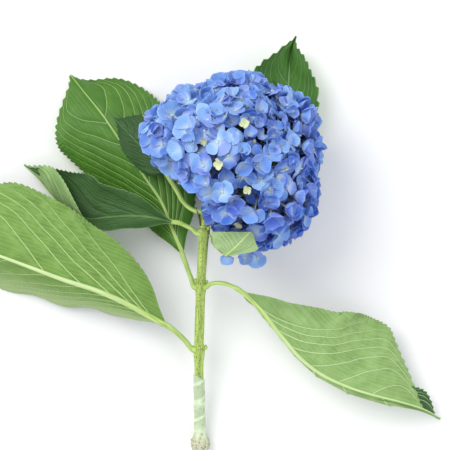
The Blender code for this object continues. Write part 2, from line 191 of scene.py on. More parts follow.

# Each leaf, with its tables at even steps along the rib:
# stalk, rib: points on their middle lines. half_width, widest: the blade's widest half, and
# where it lies. left, right: degrees that a half slopes up (+) or down (-) from the rib.
# _share: its reach as a share of the usual outline. _reach: its reach in mm, in place of
# the outline. _lip: breadth of a flat strip before the fold. crease: painted shade in the fold.
# bend: degrees that the blade rolls. across: the way that the left half reaches. steady: how
# far the halves keep square to the whole leaf in place of the rib. kept: what is left of a
# trimmed blade. face: which face is up. tooth: spacing and depth. veins: starts and ends of
# the side veins. vein_mm: their half width. stout, slim, sunk, pale: the stalk's radius, the
# power by which the rib tapers, how deep it lies and how pale it is. painted_sheen: a whitish
# sheen painted on the left half. colours: the upper face, the underside and the veins.
LEAVES = {
    "leaf_middle_left": {
        "stalk": ((12, -36, 39), (8, -28, 36), (3, -16.5, 32), (-1, -7, 28)),
        "rib": (
            (-1, -7, 28), (-9, 11, 24), (-17, 31, 23), (-32, 54, 23), (-52, 83.5, 22), (-67, 105, 18),
            (-80.5, 121.5, 12), (-92.5, 136.5, 5),
        ),
        "half_width": 45,
        "widest": 0.62,
        "left": (-42, -36, -34, -26, -8, 6, 6),
        "left_share": (1.6, 1.15, 0.94, 0.92, 0.98, 1.1, 1),
        "right": (-14, -14, -10, -8, -14, -36, -66),
        "right_share": (1.5, 1.2, 1.03, 1, 1, 1, 1),
        "bend": 8,
        "pale": 0.15,
        "slim": 3.2,
        "tooth": (4.3, 1.7),
        "colours": ("4a7a20", "8ab062", "a9c878"),
    },
    "leaf_upper_left": {
        "stalk": ((14, 7, 51), (8.5, 10.5, 47), (2.5, 13.5, 42), (-4, 16, 37), (-9, 16.5, 34)),
        "rib": (
            (-9, 16.5, 34), (-19, 19, 31), (-37, 21.5, 26), (-60, 20.5, 20), (-77.5, 19, 17),
            (-93, 25.5, 15), (-107, 39, 14), (-118, 52, 14), (-129.5, 62.5, 16),
        ),
        "half_width": 34,
        "widest": 0.58,
        "left": (50, 56, 60, 68, 88, 108, 127, 142, 150),
        "left_share": (1, 1, 1, 1, 1, 1, 0.98, 0.95, 1),
        "right": (60, 54, 44, 36, 30, 26, 30, 42, 56),
        "right_share": (1, 1, 0.98, 1.04, 1.1, 1.12, 0.95, 0.8, 0.8),
        "sunk": 1.1,
        "steady": 0.6,
        "bend": -22,
        "veins": (
            (0.0, 0.015, 0.04, 0.09, 0.18, 0.34, 0.52, 0.7),
            (0.6, 0.72, 0.8, 0.86, 0.91, 0.95, 0.975, 0.99),
        ),
        "tooth": (3.6, 1.3),
        "colours": ("4c7041", "9abb7a", "6f9657"),
    },
    "leaf_lower_left": {
        "stalk": ((10, -86, 26), (4, -79, 32), (-5, -71, 41), (-15, -64, 48)),
        "rib": (
            (-15, -64, 48), (-32, -54.5, 53), (-52, -44, 57), (-69, -37, 58), (-94, -29, 58),
            (-120, -19.5, 56), (-145, -10.5, 52), (-177, -0.5, 40), (-212, 13, 14),
        ),
        "half_width": 60,
        "widest": 0.57,
        "left": (-60, -65, -66, -65, -62, -58, -50),
        "right": (16, 4, -4, -6, -14, -24, -30),
        "right_share": (1, 0.93, 0.92, 0.96, 1.03, 1.08, 1.05),
        "bend": 12,
        "veins": (
            (0.02, 0.055, 0.11, 0.19, 0.3, 0.44, 0.6), (0.42, 0.6, 0.73, 0.83, 0.905, 0.955, 0.985),
        ),
        "stout": 1.3,
        # A whitish sheen painted on its left half.
        "painted_sheen": 0.55,
        "face": "under",
        "tooth": (4.6, 1.3),
        "vein_mm": 0.44,
        "colours": ("3f6c2a", "668c3c", "b2cd88"),
    },
    "leaf_middle_right": {
        "stalk": ((20, -35.5, 42), (24, -33, 46), (30, -32, 49), (40, -34.5, 50), (50.5, -41.5, 48)),
        "rib": (
            (50.5, -41.5, 48), (60, -51.5, 46), (71, -65, 45), (81.5, -78.5, 45), (93, -91.5, 44),
            (106, -102.5, 43), (125.5, -113, 41), (149.5, -121.5, 38), (174, -128, 32),
            (194.5, -135, 20), (209.5, -143.5, 6),
        ),
        "half_width": 58,
        "widest": 0.57,
        "left": (-25, -28, -14, -6, -12, -18, -16, -20, -22, -10),
        "left_share": (1, 0.88, 0.98, 1.06, 1.06, 1.07, 0.95, 0.56, 0.01, 0.01),
        "right": (-70, -112, -140, -150, -155, -158, -160, -162, -164, -150),
        "right_share": (1, 1, 1, 1, 1, 1, 0.9, 0.56, 0.74, 0.9),
        "right_lip": (0, 0, 0, 0.5, 2, 3.3, 3.8, 3.2, 1.5, 0),
        # Painted shade in the fold along the rib.
        "crease": (0, 0, 0, 0, 0.3, 1, 1, 1, 0.9, 0),
        "bend": 10,
        "veins": (
            (0.05, 0.1, 0.17, 0.26, 0.37, 0.5, 0.65), (0.56, 0.69, 0.79, 0.865, 0.92, 0.96, 0.985),
        ),
        "face": "under",
        "tooth": (4.2, 1.2),
        "vein_mm": 0.44,
        "colours": ("2f5a24", "84a660", "bcd69c"),
    },
    "leaf_top_right": {
        "stalk": ((21.5, 20.5, 54), (27, 23, 49), (31.5, 29, 32), (34.5, 36, 11), (39.5, 42.5, 3.4)),
        "rib": (
            (39.5, 42.5, 3.4), (54, 63, 1.5), (68.5, 90, 1.4), (79.5, 112, 2.5), (85, 125, 5),
            (86, 137.5, 8), (86.5, 146, 11), (87.5, 156.5, 16), (91, 166.5, 24),
        ),
        "half_width": 37,
        "widest": 0.54,
        "left": (0, 0, 0, 0, 6, 38, 66),
        "right": (0, 0, 0, 16, 40, 58, 70),
        "right_share": (1, 1, 0.96, 0.94, 0.93, 0.93, 1),
        "bend": 0,
        "tooth": (6.2, 2.3),
        "colours": ("55863a", "8ab062", "98bc78"),
    },
    "leaf_top_left": {
        "stalk": ((14.5, 24.5, 56), (6.5, 27, 52), (0, 33, 47), (-4.5, 41, 43), (-14.5, 57, 40)),
        "rib": ((-14.5, 57, 40), (-26.5, 70, 38), (-40.5, 84.5, 34), (-56, 100.5, 28)),
        "half_width": 27,
        "widest": 0.42,
        "left": (-10, -15, -18, -20, -22, -26, -30),
        "left_share": (0.7, 0.65, 0.6, 0.55, 0.5, 0.45, 0.4),
        "right": (-5, -5, -5, -5, -5, -20, -50),
        "sunk": 1.3,
        "bend": 8,
        "tooth": (3.4, 0.9),
        # Its upper face and veins are painted dark green: painted shade from the head above it.
        "colours": ("27501a", "7c9f60", "3f6a32"),
    },
    "leaf_upper_right_trimmed": {
        "stalk": ((21, 6, 52), (24, 0, 62), (29, -6, 77), (34.4, -9.7, 92)),
        "rib": ((34.4, -9.7, 92), (41, -3.8, 95), (47.1, 2.4, 98), (53.3, 8.8, 101)),
        "across": (-1, 0, 0),
        "stout": 0.35,
        "half_width": 31.6,
        "kept": 0.5,
        "left": (-8, -14, -18, -20),
        "left_reach": (1.5, 7, 16.6, 21, 25, 28.5, 31.6),
        "right": (4, 10, 16, 20),
        "right_reach": (5, 16, 18.6, 14.3, 9.8, 5.6, 1.6),
        "bend": 6,
        "face": "under",
        "tooth": (2.4, 0.3),
        "vein_mm": 0.28,
        "colours": ("4c7a34", "94b277", "bad29e"),
    },
}

# Head: its middle, and the branches that carry its domes of florets. Each branch is a
# direction, as degrees round from +X and up from the table, and its outermost reach.
HEAD_MIDDLE = np.array((40.0, 62.5, 72.5))
DOME_RADIUS = 33.0
BRANCHES = (
    (158, 6, 80), (120, 4, 73), (82, 0, 73), (42, 0, 76), (4, 0, 74), (-34, 0, 79), (-62, -4, 77),
    (-80, -16, 77), (140, 50, 71), (78, 46, 71), (16, 44, 72), (-42, 44, 73), (196, 64, 66),
    (-122, 62, 69), (60, 86, 70), (118, -46, 70), (56, -44, 70), (0, -44, 70), (-52, -46, 68),
    (50, -84, 69.2),
)
# How far the head reaches from its middle, seen from above, every 15 degrees from +X, how
# far inside that a floret's eye stays, and how far beyond it a floret is left out.
HEAD_REACH = (
    *(67.0, 72.0, 76.3, 74.3, 70.8, 73.9, 69.0, 67.5, 69.0, 78.0, 78.5, 72.0),
    *(58.0, 41.0, 38.0, 37.0, 37.0, 52.0, 66.7, 70.5, 73.0, 80.0, 72.0, 67.5),
)
EYE_INSIDE = 8.0
TOO_FAR = 9.0
# Florets stand this far inside their dome, so that their sepals reach it.
SUNK = 3.0
# Florets listed one by one where the head shows them best: across, along, radius, kind, turn.
PLACED = (
    (69.7, 67.5, 9.5, "open", 40), (61.6, 50.4, 9.9, "open", 85), (47.4, 59.6, 9.8, "half", 95),
    (34.2, 21.8, 10.7, "open", 20), (55.6, 23.1, 10.7, "half", 60), (81.7, 27.0, 9.2, "cup", 10),
    (74.3, 78.7, 6.4, "cup", 30), (56.5, 78.5, 3.8, "bud", 0), (62.0, 84.5, 8.6, "half", 25),
    (28.1, 59.7, 4.9, "young", 0), (49.9, 40.1, 4.2, "young", 40), (42.9, 13.7, 3.9, "young", 70),
    (48.8, 90.9, 6.8, "young", 20), (4.0, 88.0, 11.4, "open", 25), (-0.6, 72.8, 11.4, "half", 0),
    (-24.4, 93.6, 11.6, "reflexed", 15), (-15.8, 75.5, 10.0, "open", 50), (-7.7, 99.6, 12.3, "open", 5),
    (4.7, 112.1, 11.6, "half", 45), (18.2, 115.1, 11.6, "cup", 80), (38.8, 114.9, 10.7, "half", 20),
    (53.4, 111.6, 9.9, "half", 55), (70.2, 120.6, 10.1, "reflexed", 30),
    (83.4, 107.6, 10.8, "open", 75), (94.8, 99.3, 10.9, "cup", 0), (32.6, 97.1, 9.9, "half", 65),
    (26.6, 77.5, 11.3, "reflexed", 45), (40.8, 82.8, 9.8, "reflexed", 10), (59.1, 92.2, 9.9, "cup", 45),
    (84.1, 77.9, 9.9, "half", 15), (94.8, 74.4, 9.9, "cup", 45), (104.1, 72.9, 9.3, "reflexed", 0),
    (16.4, 58.7, 10.6, "half", 80), (18.5, 45.0, 10.6, "cup", 60), (31.6, 38.2, 9.1, "open", 35),
    (94.2, 56.9, 9.2, "reflexed", 70), (97.8, 40.6, 9.3, "cup", 20), (60.6, 8.6, 10.0, "reflexed", 30),
    (75.3, 3.9, 10.9, "open", 10), (87.8, 9.3, 10.1, "half", 60), (98.1, 17.9, 9.3, "open", 40),
)
PLACED_SIZE = 1.15
# Florets that hang below the trimmed leaf and over the head's open side: across, along, up,
# radius, kind, turn and the way they face.
HANGING = (
    (35.8, -10.4, 72, 8.0, "half", 45, (-0.1, -0.5, 0.8)),
    (49.5, -11.0, 70, 8.0, "half", 40, (0.0, -0.45, 0.85)),
    (58.5, -12.0, 68, 8.6, "open", 75, (0.2, -0.5, 0.8)),
    (-6.5, 62.0, 95, 13.5, "open", -56, (-0.2, -0.25, 0.92)),
)
# Hollows between the domes, where the pedicels show: across, along, radius.
HOLLOWS = ((33.2, 49.5, 6.0), (50.3, 39.0, 4.0), (78.5, 33.8, 4.0))
# How each kind of floret holds its sepals: their rise at the claw and at the tip in degrees,
# the roll of their sides, their width over their length, and how young they are.
KINDS = {
    "bud": (74, 118, 0.5, 1.0, 0.9),
    "cup": (44, 74, 0.34, 1.12, 0.0),
    "half": (28, 50, 0.28, 1.16, 0.0),
    "open": (14, 22, 0.2, 1.18, 0.0),
    "reflexed": (8, -38, -0.25, 1.18, 0.0),
    "young": (24, 58, 0.3, 0.95, 1.0),
}
KIND_NAMES = sorted(KINDS)
PATTERNS_A_KIND = 4
FLORET_RADIUS = 12.0
# The youngest and smallest florets: the middle of their patch, how far it reaches, and how
# much smaller they are.
YOUNG_MIDDLE = (57.0, 98.0)
YOUNG_REACH = 34.0
YOUNG_SMALLER = 0.3
# The side of the head that shows its florets edge-on, how far they turn towards it, and
# where that starts and is full.
TURNED_AWAY = np.array((0.75, -0.1, 0.0))
TURNED_FROM = (66, 96)
# Sepals are painted palest where they face this way: painted light from the upper left.
LIGHT_WAY = np.array((-0.28, 0.62, 0.7))
# A floret's lightness, from 0 to 1, its own tone with painted light in it: its middle, how
# much the painted light adds, and its spread; florets that hang free are at least so light;
# and its limits.
TINT_MIDDLE = 0.46
PAINTED_LIGHT_SHARE = 0.42
TINT_SPREAD = 0.36
HANGING_TINT = 0.8
TINTS = (0.12, 1)
SEAT_SEED = 23
# Florets spread over the domes: their number; the kinds dealt to them, where a draw from 0
# to 1 times the deal picks one, so that the last is rare; how far they keep from those listed
# one by one, outside and inside the young patch; and the bare cone round the stem, in degrees.
FILL_FLORETS = 560
FILL_KINDS = ("open", "half", "half", "reflexed", "cup", "open", "reflexed", "half", "cup", "young")
FILL_DEAL = 9.3
FILL_APART = (9.5, 7.0)
FILL_BARE = 14.0
# The side pressed on the table: its direction, its cone in degrees, and how far it gives way.
PRESSED_WAY = (-88, 24)
PRESSED_SPREAD = 27.0
PRESSED_SINK = 9.0
# A ring of florets that look outwards and close the head's outline: their number, their
# kinds in turn, how far out they start and how far inside the outline they end, how far they
# keep from those listed one by one, the bare cone round the stem in degrees, the most that
# they turn, and the middle and spread of their lightness.
RIM_FLORETS = 60
RIM_KINDS = ("half", "open", "cup", "reflexed")
RIM_BEYOND = 99.0
RIM_INSIDE = 10.5
RIM_APART = 8.0
RIM_BARE = 30.0
RIM_TURN = 6.28
RIM_TINT = (0.44, 0.3)
# A second layer inside, in the shade of the first and kept dark with painted shade: their
# number, the bare cone round the stem, the least and the added depth below the dome, and their
# size, lean and most lightness.
INNER_FLORETS = 260
INNER_BARE = 24.0
INNER_SINK = (8, 15)
INNER_SIZE = 0.88
INNER_LEAN = 1.3
INNER_TINT = 0.35
# A dome of florets stands for the CAD florets nearest to a point this far out from its
# branch's end.
DOME_CENTRE_OUT = 18.0
# Radii at the start and the end of the neck and of each branch, how far a branch bows, the
# rows of points along it and the swelling at its end. Then how a floret's stalk tapers from
# its branch to its eye, as shares of its usual radius, and how far it strays sideways.
NECK_RADII = (3.7, 3.6)
BRANCH_RADII = (2.1, 1.4)
BRANCH_BOW = 3
LIMB_ROWS = 12
LIMB_SWELL = 0.25
PEDICEL_TAPER = (1.25, 1.1, 1.0, 1.0, 1.1, 1.5)
PEDICEL_BOW = 1.2
PEDICEL_SEED = 3

# Half the width of a sepal from its claw to its tip, as shares of the widest.
SEPAL_SHAPE = (
    (0, 0.14), (0.1, 0.34), (0.25, 0.66), (0.4, 0.88), (0.52, 0.98), (0.62, 1.0), (0.75, 0.92),
    (0.87, 0.72), (0.96, 0.43), (1, 0.16),
)
SEPAL_ROWS = 7
SEPAL_COLUMNS = 5
SEPAL_THICKNESS = 0.32
# How far from a floret's eye its sepals start, and how far the upper pair stands over the
# other, which rises this many degrees more.
SEPAL_START = 0.6
PAIR_OVER = 0.35
PAIR_RISE = 5
# The least and most of a sepal's usual length and breadth, and the most that its rise and its
# place round the eye stray, in degrees, and that it twists.
SEPAL_LENGTHS = (0.86, 1.08)
SEPAL_BREADTHS = (0.9, 1.06)
RISE_STRAY = 19
TURN_STRAY = 10
SEPAL_TWIST = 0.4
PATTERN_SEED = 5
PICK_SEED = 31
# Sepals that reach below this height lie pressed on the table.
PRESSED_BELOW = 2.0

# Stage, in metres: half the floor's side, and a large soft light above the upper left with a
# weaker one opposite, as name, place, size, share of the power and colour.
FLOOR_HALF = 4.0
LAMPS = (
    ("key light", (-0.75, 0.7, 1.5), 1.1, 1.0, (1.0, 0.985, 0.96)),
    ("fill light", (1.2, -0.6, 1.3), 1.2, 0.22, (0.95, 0.97, 1.0)),
)
LAMPS_FACE = (0.0, 0.0, 0.05)
# The camera's lens and sensor are in mm, and it looks straight down.
CAMERA_LENS = 176
CAMERA_SENSOR = 36
CAMERA_CLIP = 20
CAMERA_PLACE = (0.0349, 0.0164, 1.8)


def linear(hex_colour):
    """The linear colour of an sRGB hex value, with full alpha."""
    shares = (int(hex_colour[i : i + 2], 16) / 255 for i in (0, 2, 4))
    return (*(c / 12.92 if c <= 0.04045 else ((c + 0.055) / 1.055) ** 2.4 for c in shares), 1.0)


def feed(made, inputs):
    """Sets a node's inputs, each from a value, a socket, or the first live output of a node."""
    for key, value in inputs.items():
        if isinstance(value, bpy.types.Node):
            value = next(socket for socket in value.outputs if socket.enabled)
        if isinstance(value, bpy.types.NodeSocket):
            made.id_data.links.new(value, made.inputs[key])
        else:
            made.inputs[key].default_value = value


def node(tree, kind, inputs=None, **settings):
    """A node with its settings and its inputs."""
    made = tree.nodes.new(kind)
    for name, value in settings.items():
        setattr(made, name, value)
    feed(made, inputs or {})
    return made


def unit(vector):
    """One direction, one long."""
    return vector / np.linalg.norm(vector)


def units(vectors):
    """Rows of directions, each one long."""
    return vectors / np.linalg.norm(vectors, axis=-1)[..., None]


def smooth(knots, values, at):
    """Values of a smooth curve that passes through the given values at the given knots."""
    knots = np.asarray(knots, float)
    values = np.asarray(values, float).reshape(len(knots), -1)
    slopes = np.gradient(values, knots, axis=0)
    at = np.atleast_1d(at)
    first = np.clip(np.searchsorted(knots, at, side="right") - 1, 0, len(knots) - 2)
    width = (knots[first + 1] - knots[first])[:, None]
    u = (at - knots[first])[:, None] / width
    return (
        (2 * u**3 - 3 * u**2 + 1) * values[first]
        + (u**3 - 2 * u**2 + u) * width * slopes[first]
        + (3 * u**2 - 2 * u**3) * values[first + 1]
        + (u**3 - u**2) * width * slopes[first + 1]
    )


def steps(points):
    """The lengths of the steps from each point to the next."""
    return np.linalg.norm(np.diff(points, axis=0), axis=1)


def along(points, at):
    """Points at shares of the length of a smooth line through the given points."""
    points = np.asarray(points, float)
    run = np.r_[0, np.cumsum(steps(points))]
    return smooth(run / run[-1], points, at)


def spaced(values, at):
    """Values given at even steps from 0 to 1, read at other places."""
    return smooth(np.linspace(0, 1, len(values)), values, at)[:, 0]


def ramp(values, low, high):
    """0 below low, 1 above high and smooth between."""
    share = np.clip((values - low) / (high - low), 0, 1)
    return share * share * (3 - 2 * share)


def mound(values, middle, half):
    """1 at the middle, fading smoothly to both sides of it."""
    return np.exp(-(((values - middle) / half) ** 2))


def way_of(round_from_x, up_from_table):
    """The direction at the given degrees."""
    turn, lift = math.radians(round_from_x), math.radians(up_from_table)
    return np.array((math.cos(turn) * math.cos(lift), math.sin(turn) * math.cos(lift), math.sin(lift)))


STEM_WAY = unit(STEM_TOP - STEM_FOOT)
STEM_LENGTH = float(np.linalg.norm(STEM_TOP - STEM_FOOT))
STEM_SIDE = unit(np.cross(STEM_WAY, UP))
STEM_OVER = np.cross(STEM_SIDE, STEM_WAY)
FORK = STEM_TOP + STEM_WAY * NECK_LENGTH
KNOTS = np.array([HEAD_MIDDLE + way_of(a, e) * (reach - DOME_RADIUS) for a, e, reach in BRANCHES])
KNOT_WAYS = units(KNOTS - HEAD_MIDDLE)
STEM_FROM_HEAD = unit(STEM_TOP - HEAD_MIDDLE)


def bowed(points):
    """The points with the stem's slight bow, which fades away from the stem."""
    up = (points - STEM_FOOT) @ STEM_WAY
    off = np.linalg.norm(points - STEM_FOOT - up[:, None] * STEM_WAY, axis=1)
    bow = STEM_BOW * np.sin(math.pi * np.clip(up / STEM_LENGTH, 0, 1)) * mound(off, 0, BOW_FADE)
    return points - bow[:, None] * STEM_SIDE


def shown(name, data):
    """An object in the scene, with the given data."""
    made = bpy.data.objects.new(name, data)
    bpy.context.scene.collection.objects.link(made)
    return made


def store(data, values):
    """Stores values on a mesh's points, each under its name."""
    for key, rows in values.items():
        wide = np.ndim(rows) > 1
        made = data.attributes.new(key, "FLOAT_VECTOR" if wide else "FLOAT", "POINT")
        made.data.foreach_set("vector" if wide else "value", np.ravel(rows))


def dotted(name, points, edges, values):
    """An object of loose points and edges, given in mm before centring, with its values."""
    data = bpy.data.meshes.new(name)
    data.from_pydata(((points + CENTRING) * MM).tolist(), edges, [])
    store(data, values)
    return shown(name, data)


class Body:
    """Closed bodies gathered into one mesh: points, faces, the look of each face, and values."""

    def __init__(self):
        self.points, self.faces, self.looks, self.values = [], [], [], {}

    def add(self, points, faces, look=0, **values):
        """Adds a body whose look is one number, or one for each face."""
        start = sum(len(p) for p in self.points)
        self.points.append(np.asarray(points, float))
        self.faces += [tuple(start + i for i in face) for face in faces]
        self.looks += list(look) if isinstance(look, list) else [look] * len(faces)
        for name, rows in values.items():
            self.values.setdefault(name, []).append((start, np.asarray(rows, float)))

    def mesh(self, name, points, materials=()):
        """An object at the origin with the gathered faces on the given points, in mm."""
        data = bpy.data.meshes.new(name)
        data.from_pydata((points * MM).tolist(), [], self.faces)
        for material in materials:
            data.materials.append(material)
        data.polygons.foreach_set("material_index", self.looks)
        for key, parts in self.values.items():
            rows = np.zeros((len(points), *parts[0][1].shape[1:]))
            for start, values in parts:
                rows[start : start + len(values)] = values
            store(data, {key: rows})
        data.shade_smooth()
        data.validate()
        return shown(name, data)

    def piece(self, name, materials, slot, *nodes):
        """The flower's finished piece, in place and over the CAD nodes that it stands for."""
        points = bowed(np.vstack(self.points)) + CENTRING
        points[:, 2] = np.maximum(points[:, 2], TABLE_CLEAR)
        settle(self.mesh(name, points, materials), slot, *nodes)


def settle(piece, slot, *nodes):
    """Rides the piece on the flower and hides the CAD nodes that it stands for; slot is not used."""
    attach(piece, "root")
    if nodes:
        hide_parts(*nodes)


def cells(index):
    """The corners of every cell in a grid of point numbers."""
    return np.stack((index[:-1, :-1], index[:-1, 1:], index[1:, 1:], index[1:, :-1]), -1).reshape(-1, 4)


def outline(index):
    """The outer points of a grid of point numbers, in order."""
    return np.r_[index[0], index[1:, -1], index[-1, -2::-1], index[-2:0:-1, 0]]


def flipped(faces):
    """The same faces seen from behind, each from the same corner."""
    return np.roll(faces[:, ::-1], 1, axis=1)


def hoops(rows, sides):
    """The faces between rings of points that follow each other."""
    index = np.arange(rows * sides).reshape(rows, sides)
    return cells(np.column_stack((index, index[:, 0])))


def tube(line, wide, high, sides, ups, groove=0.0):
    """(points, faces, turns) of a closed tube; wide and high are its radii across and along ups."""
    line = np.asarray(line, float)
    ways = units(np.gradient(line, axis=0))
    ups = np.broadcast_to(np.asarray(ups, float), line.shape)
    ups = units(ups - ways * np.sum(ups * ways, axis=1)[:, None])
    across = np.cross(ways, ups)
    turns = np.linspace(0, 2 * math.pi, sides, endpoint=False)
    dent = 1 - groove * mound(turns, math.pi / 2, 0.5)
    wide = np.broadcast_to(np.asarray(wide, float), len(line))[:, None] * np.cos(turns) * dent
    high = np.broadcast_to(np.asarray(high, float), len(line))[:, None] * np.sin(turns) * dent
    points = line[:, None] + across[:, None] * wide[..., None] + ups[:, None] * high[..., None]
    ends = [list(reversed(range(sides))), list(range((len(line) - 1) * sides, len(line) * sides))]
    return points.reshape(-1, 3), hoops(len(line), sides).tolist() + ends, np.tile(turns, len(line))


def skin_place(turns, runs, radius=2.0):
    """Where each point of a tube lies on its skin: how far round and how far along."""
    runs = np.repeat(runs, len(turns) // len(runs))
    return np.stack((turns * radius, runs, 0 * turns), -1)


def sheet_faces(rows, columns):
    """(faces, looks) of a closed sheet: its top grid of points, then its bottom grid."""
    index = np.arange(rows * columns).reshape(rows, columns)
    top = cells(index)[:, ::-1].tolist()
    ring = outline(index)
    after = np.roll(ring, -1)
    edge = np.stack((ring, after, after + index.size, ring + index.size), -1).tolist()
    low = (cells(index) + index.size).tolist() + edge
    return top + low, [0] * len(top) + [1] * len(low)


# ---------------------------------------------------------------- materials


def finish(name):
    """(a new material, its shader, a function that adds a node to it)"""
    made = bpy.data.materials.new(name)
    made.use_nodes = True
    return made, made.node_tree.nodes["Principled BSDF"], partial(node, made.node_tree)


def leaf_face(name, base, vein, upper):
    """A living leaf's face. The upper face is a waxy cuticle, so it is smooth and satin with
    its veins sunk in; the underside is a paler, dull tissue with its veins standing out."""
    made, shader, add = finish(name)
    base, vein = np.array(linear(base)), np.array(linear(vein))
    scalars = ("vein_phase", "vein_scale", "rib_share", "edge_mm", "painted_sheen", "crease")
    read = {key: add("ShaderNodeAttribute", attribute_name=key).outputs["Fac"] for key in scalars}
    for key in ("net", "blade_mm"):
        read[key] = add("ShaderNodeAttribute", attribute_name=key).outputs["Vector"]
    # Cloudy tissue, 14 mm across.
    cloud = add("ShaderNodeTexNoise", {"Vector": read["blade_mm"], "Scale": 0.07, "Detail": 3.0})
    cloudy = add("ShaderNodeMapRange", {"Value": cloud, 1: 0.32, 2: 0.68})
    # Ladder veins, about 4.5 mm apart, that cross from one side vein to the next, and the
    # mesh of veinlets, 1.5 mm across: real ones are half that and would not show.
    edges = {"feature": "DISTANCE_TO_EDGE", "voronoi_dimensions": "2D"}
    ladder = {"Vector": read["net"], "Scale": 0.75, "Randomness": 0.8}
    mesh = {"Vector": read["blade_mm"], "Scale": 0.65, "Randomness": 0.9}
    # Side veins: how far the place is from the nearest one, in half widths of the vein.
    off = add("ShaderNodeMath", {0: read["vein_phase"], 1: 0.5}, operation="PINGPONG")
    off = add("ShaderNodeMath", {0: off, 1: read["vein_scale"]}, operation="MULTIPLY")
    # Each mark by what it is read from: it is full at the first value and gone at the second.
    masks = {"crease": read["crease"]}
    for key, source, full, gone in (
        ("rungs", add("ShaderNodeTexVoronoi", ladder, **edges), 0.02, 0.22),
        ("veinlets", add("ShaderNodeTexVoronoi", mesh, **edges), 0.03, 0.2),
        ("sides", off, 0.45, 1.25),
        ("halo", off, 0.8, 5.0),
        ("rib", add("ShaderNodeMath", {0: read["rib_share"]}, operation="ABSOLUTE"), 0.7, 1.15),
        ("margin", read["edge_mm"], 0.1, 0.9),
    ):
        levels = {"Value": source, 1: full, 2: gone, 3: 1.0, 4: 0.0}
        masks[key] = add("ShaderNodeMapRange", levels, interpolation_type="SMOOTHSTEP")
    pale = base * 0.4 + vein * 0.6
    halo = base * ((0.62, 0.72, 0.6, 1) if upper else (0.72, 0.8, 0.62, 1))
    # Cloudy tissue, then a whitish sheen painted on one half of some leaves.
    layers = [(cloudy, base * (1.22, 1.17, 1.28, 1)), (read["painted_sheen"], linear("c6d8a6"))]
    for key, over, share in (
        ("halo", halo, 0.45 if upper else 0.35),
        ("veinlets", base * (0.68, 0.78, 0.66, 1) if upper else pale, 0.35 if upper else 0.22),
        ("rungs", base * (0.62, 0.74, 0.58, 1) if upper else pale, 0.5 if upper else 0.27),
        ("margin", pale, 0.5),
        ("sides", vein, 0.75 if upper else 1.0),
        ("rib", vein, 1.0),
        # Painted shade in the fold beside the rib.
        ("crease", base * (0.2, 0.3, 0.2, 1), 0.9),
    ):
        layers.append((add("ShaderNodeMath", {0: masks[key], 1: share}, operation="MULTIPLY"), over))
    # Heights of the veins over the tissue, as shares of 0.35 mm.
    height = 0.0
    for key, share in (("veinlets", 0.22), ("rungs", 0.4), ("sides", 0.75)):
        rise = {0: masks[key], 1: -share if upper else share, 2: height}
        height = add("ShaderNodeMath", rise, operation="MULTIPLY_ADD")
    skin = tuple(base * (0.78, 0.82, 0.72, 1))
    for mask, over in layers:
        skin = add("ShaderNodeMix", {0: mask, 6: skin, 7: (*over[:3], 1)}, data_type="RGBA")
    dull = (0.36, 0.5) if upper else (0.62, 0.74)
    looks = {
        "Base Color": skin,
        "Normal": add("ShaderNodeBump", {"Height": height, "Strength": 0.8, "Distance": 0.00035}),
        "Roughness": add("ShaderNodeMapRange", {"Value": cloud, 3: dull[0], 4: dull[1]}),
        "IOR": 1.42,
        "Specular IOR Level": 0.5 if upper else 0.3,
    }
    feed(shader, looks)
    return made


def green_skin(name, colours, fleck, scale):
    """Fresh green stalk skin: smooth and slightly waxed, streaked along its length, with small
    corky breathing pores that show as darker flecks."""
    made, shader, add = finish(name)
    place = add("ShaderNodeAttribute", attribute_name="skin_mm").outputs["Vector"]
    worn, dark = (
        add("ShaderNodeAttribute", attribute_name=key).outputs["Fac"] for key in ("pale", "dark")
    )
    stretch = add("ShaderNodeMapping", {"Vector": place, "Scale": (0.9, 0.06, 1.0)})
    streaks = add("ShaderNodeTexNoise", {"Vector": stretch, "Scale": scale, "Detail": 4.0})
    squash = add("ShaderNodeMapping", {"Vector": place, "Scale": (0.5, 0.22, 1.0)})
    pores = add("ShaderNodeTexVoronoi", {"Vector": squash, "Scale": 1.0}, voronoi_dimensions="2D")
    spots = {"Value": pores, 1: 0.08, 2: 0.2, 3: fleck, 4: 0.0}
    low, high = (linear(c) for c in colours)
    # Where marked, darker: painted shade on the stem's top side and upper flank, and the leaf scars.
    layers = (
        (add("ShaderNodeMapRange", {"Value": streaks, 1: 0.34, 2: 0.66}), high),
        (worn, linear("d0e2b2")),
        (dark, np.array(low) * 0.34),
        (add("ShaderNodeMapRange", spots, interpolation_type="SMOOTHSTEP"), linear("4c4a2a")),
    )
    skin = low
    for mask, over in layers:
        skin = add("ShaderNodeMix", {0: mask, 6: skin, 7: (*over[:3], 1)}, data_type="RGBA")
    looks = {
        "Base Color": skin,
        "Normal": add("ShaderNodeBump", {"Height": streaks, "Strength": 0.35, "Distance": 0.0003}),
        "Roughness": 0.42,
        "IOR": 1.42,
    }
    feed(shader, looks)
    return made


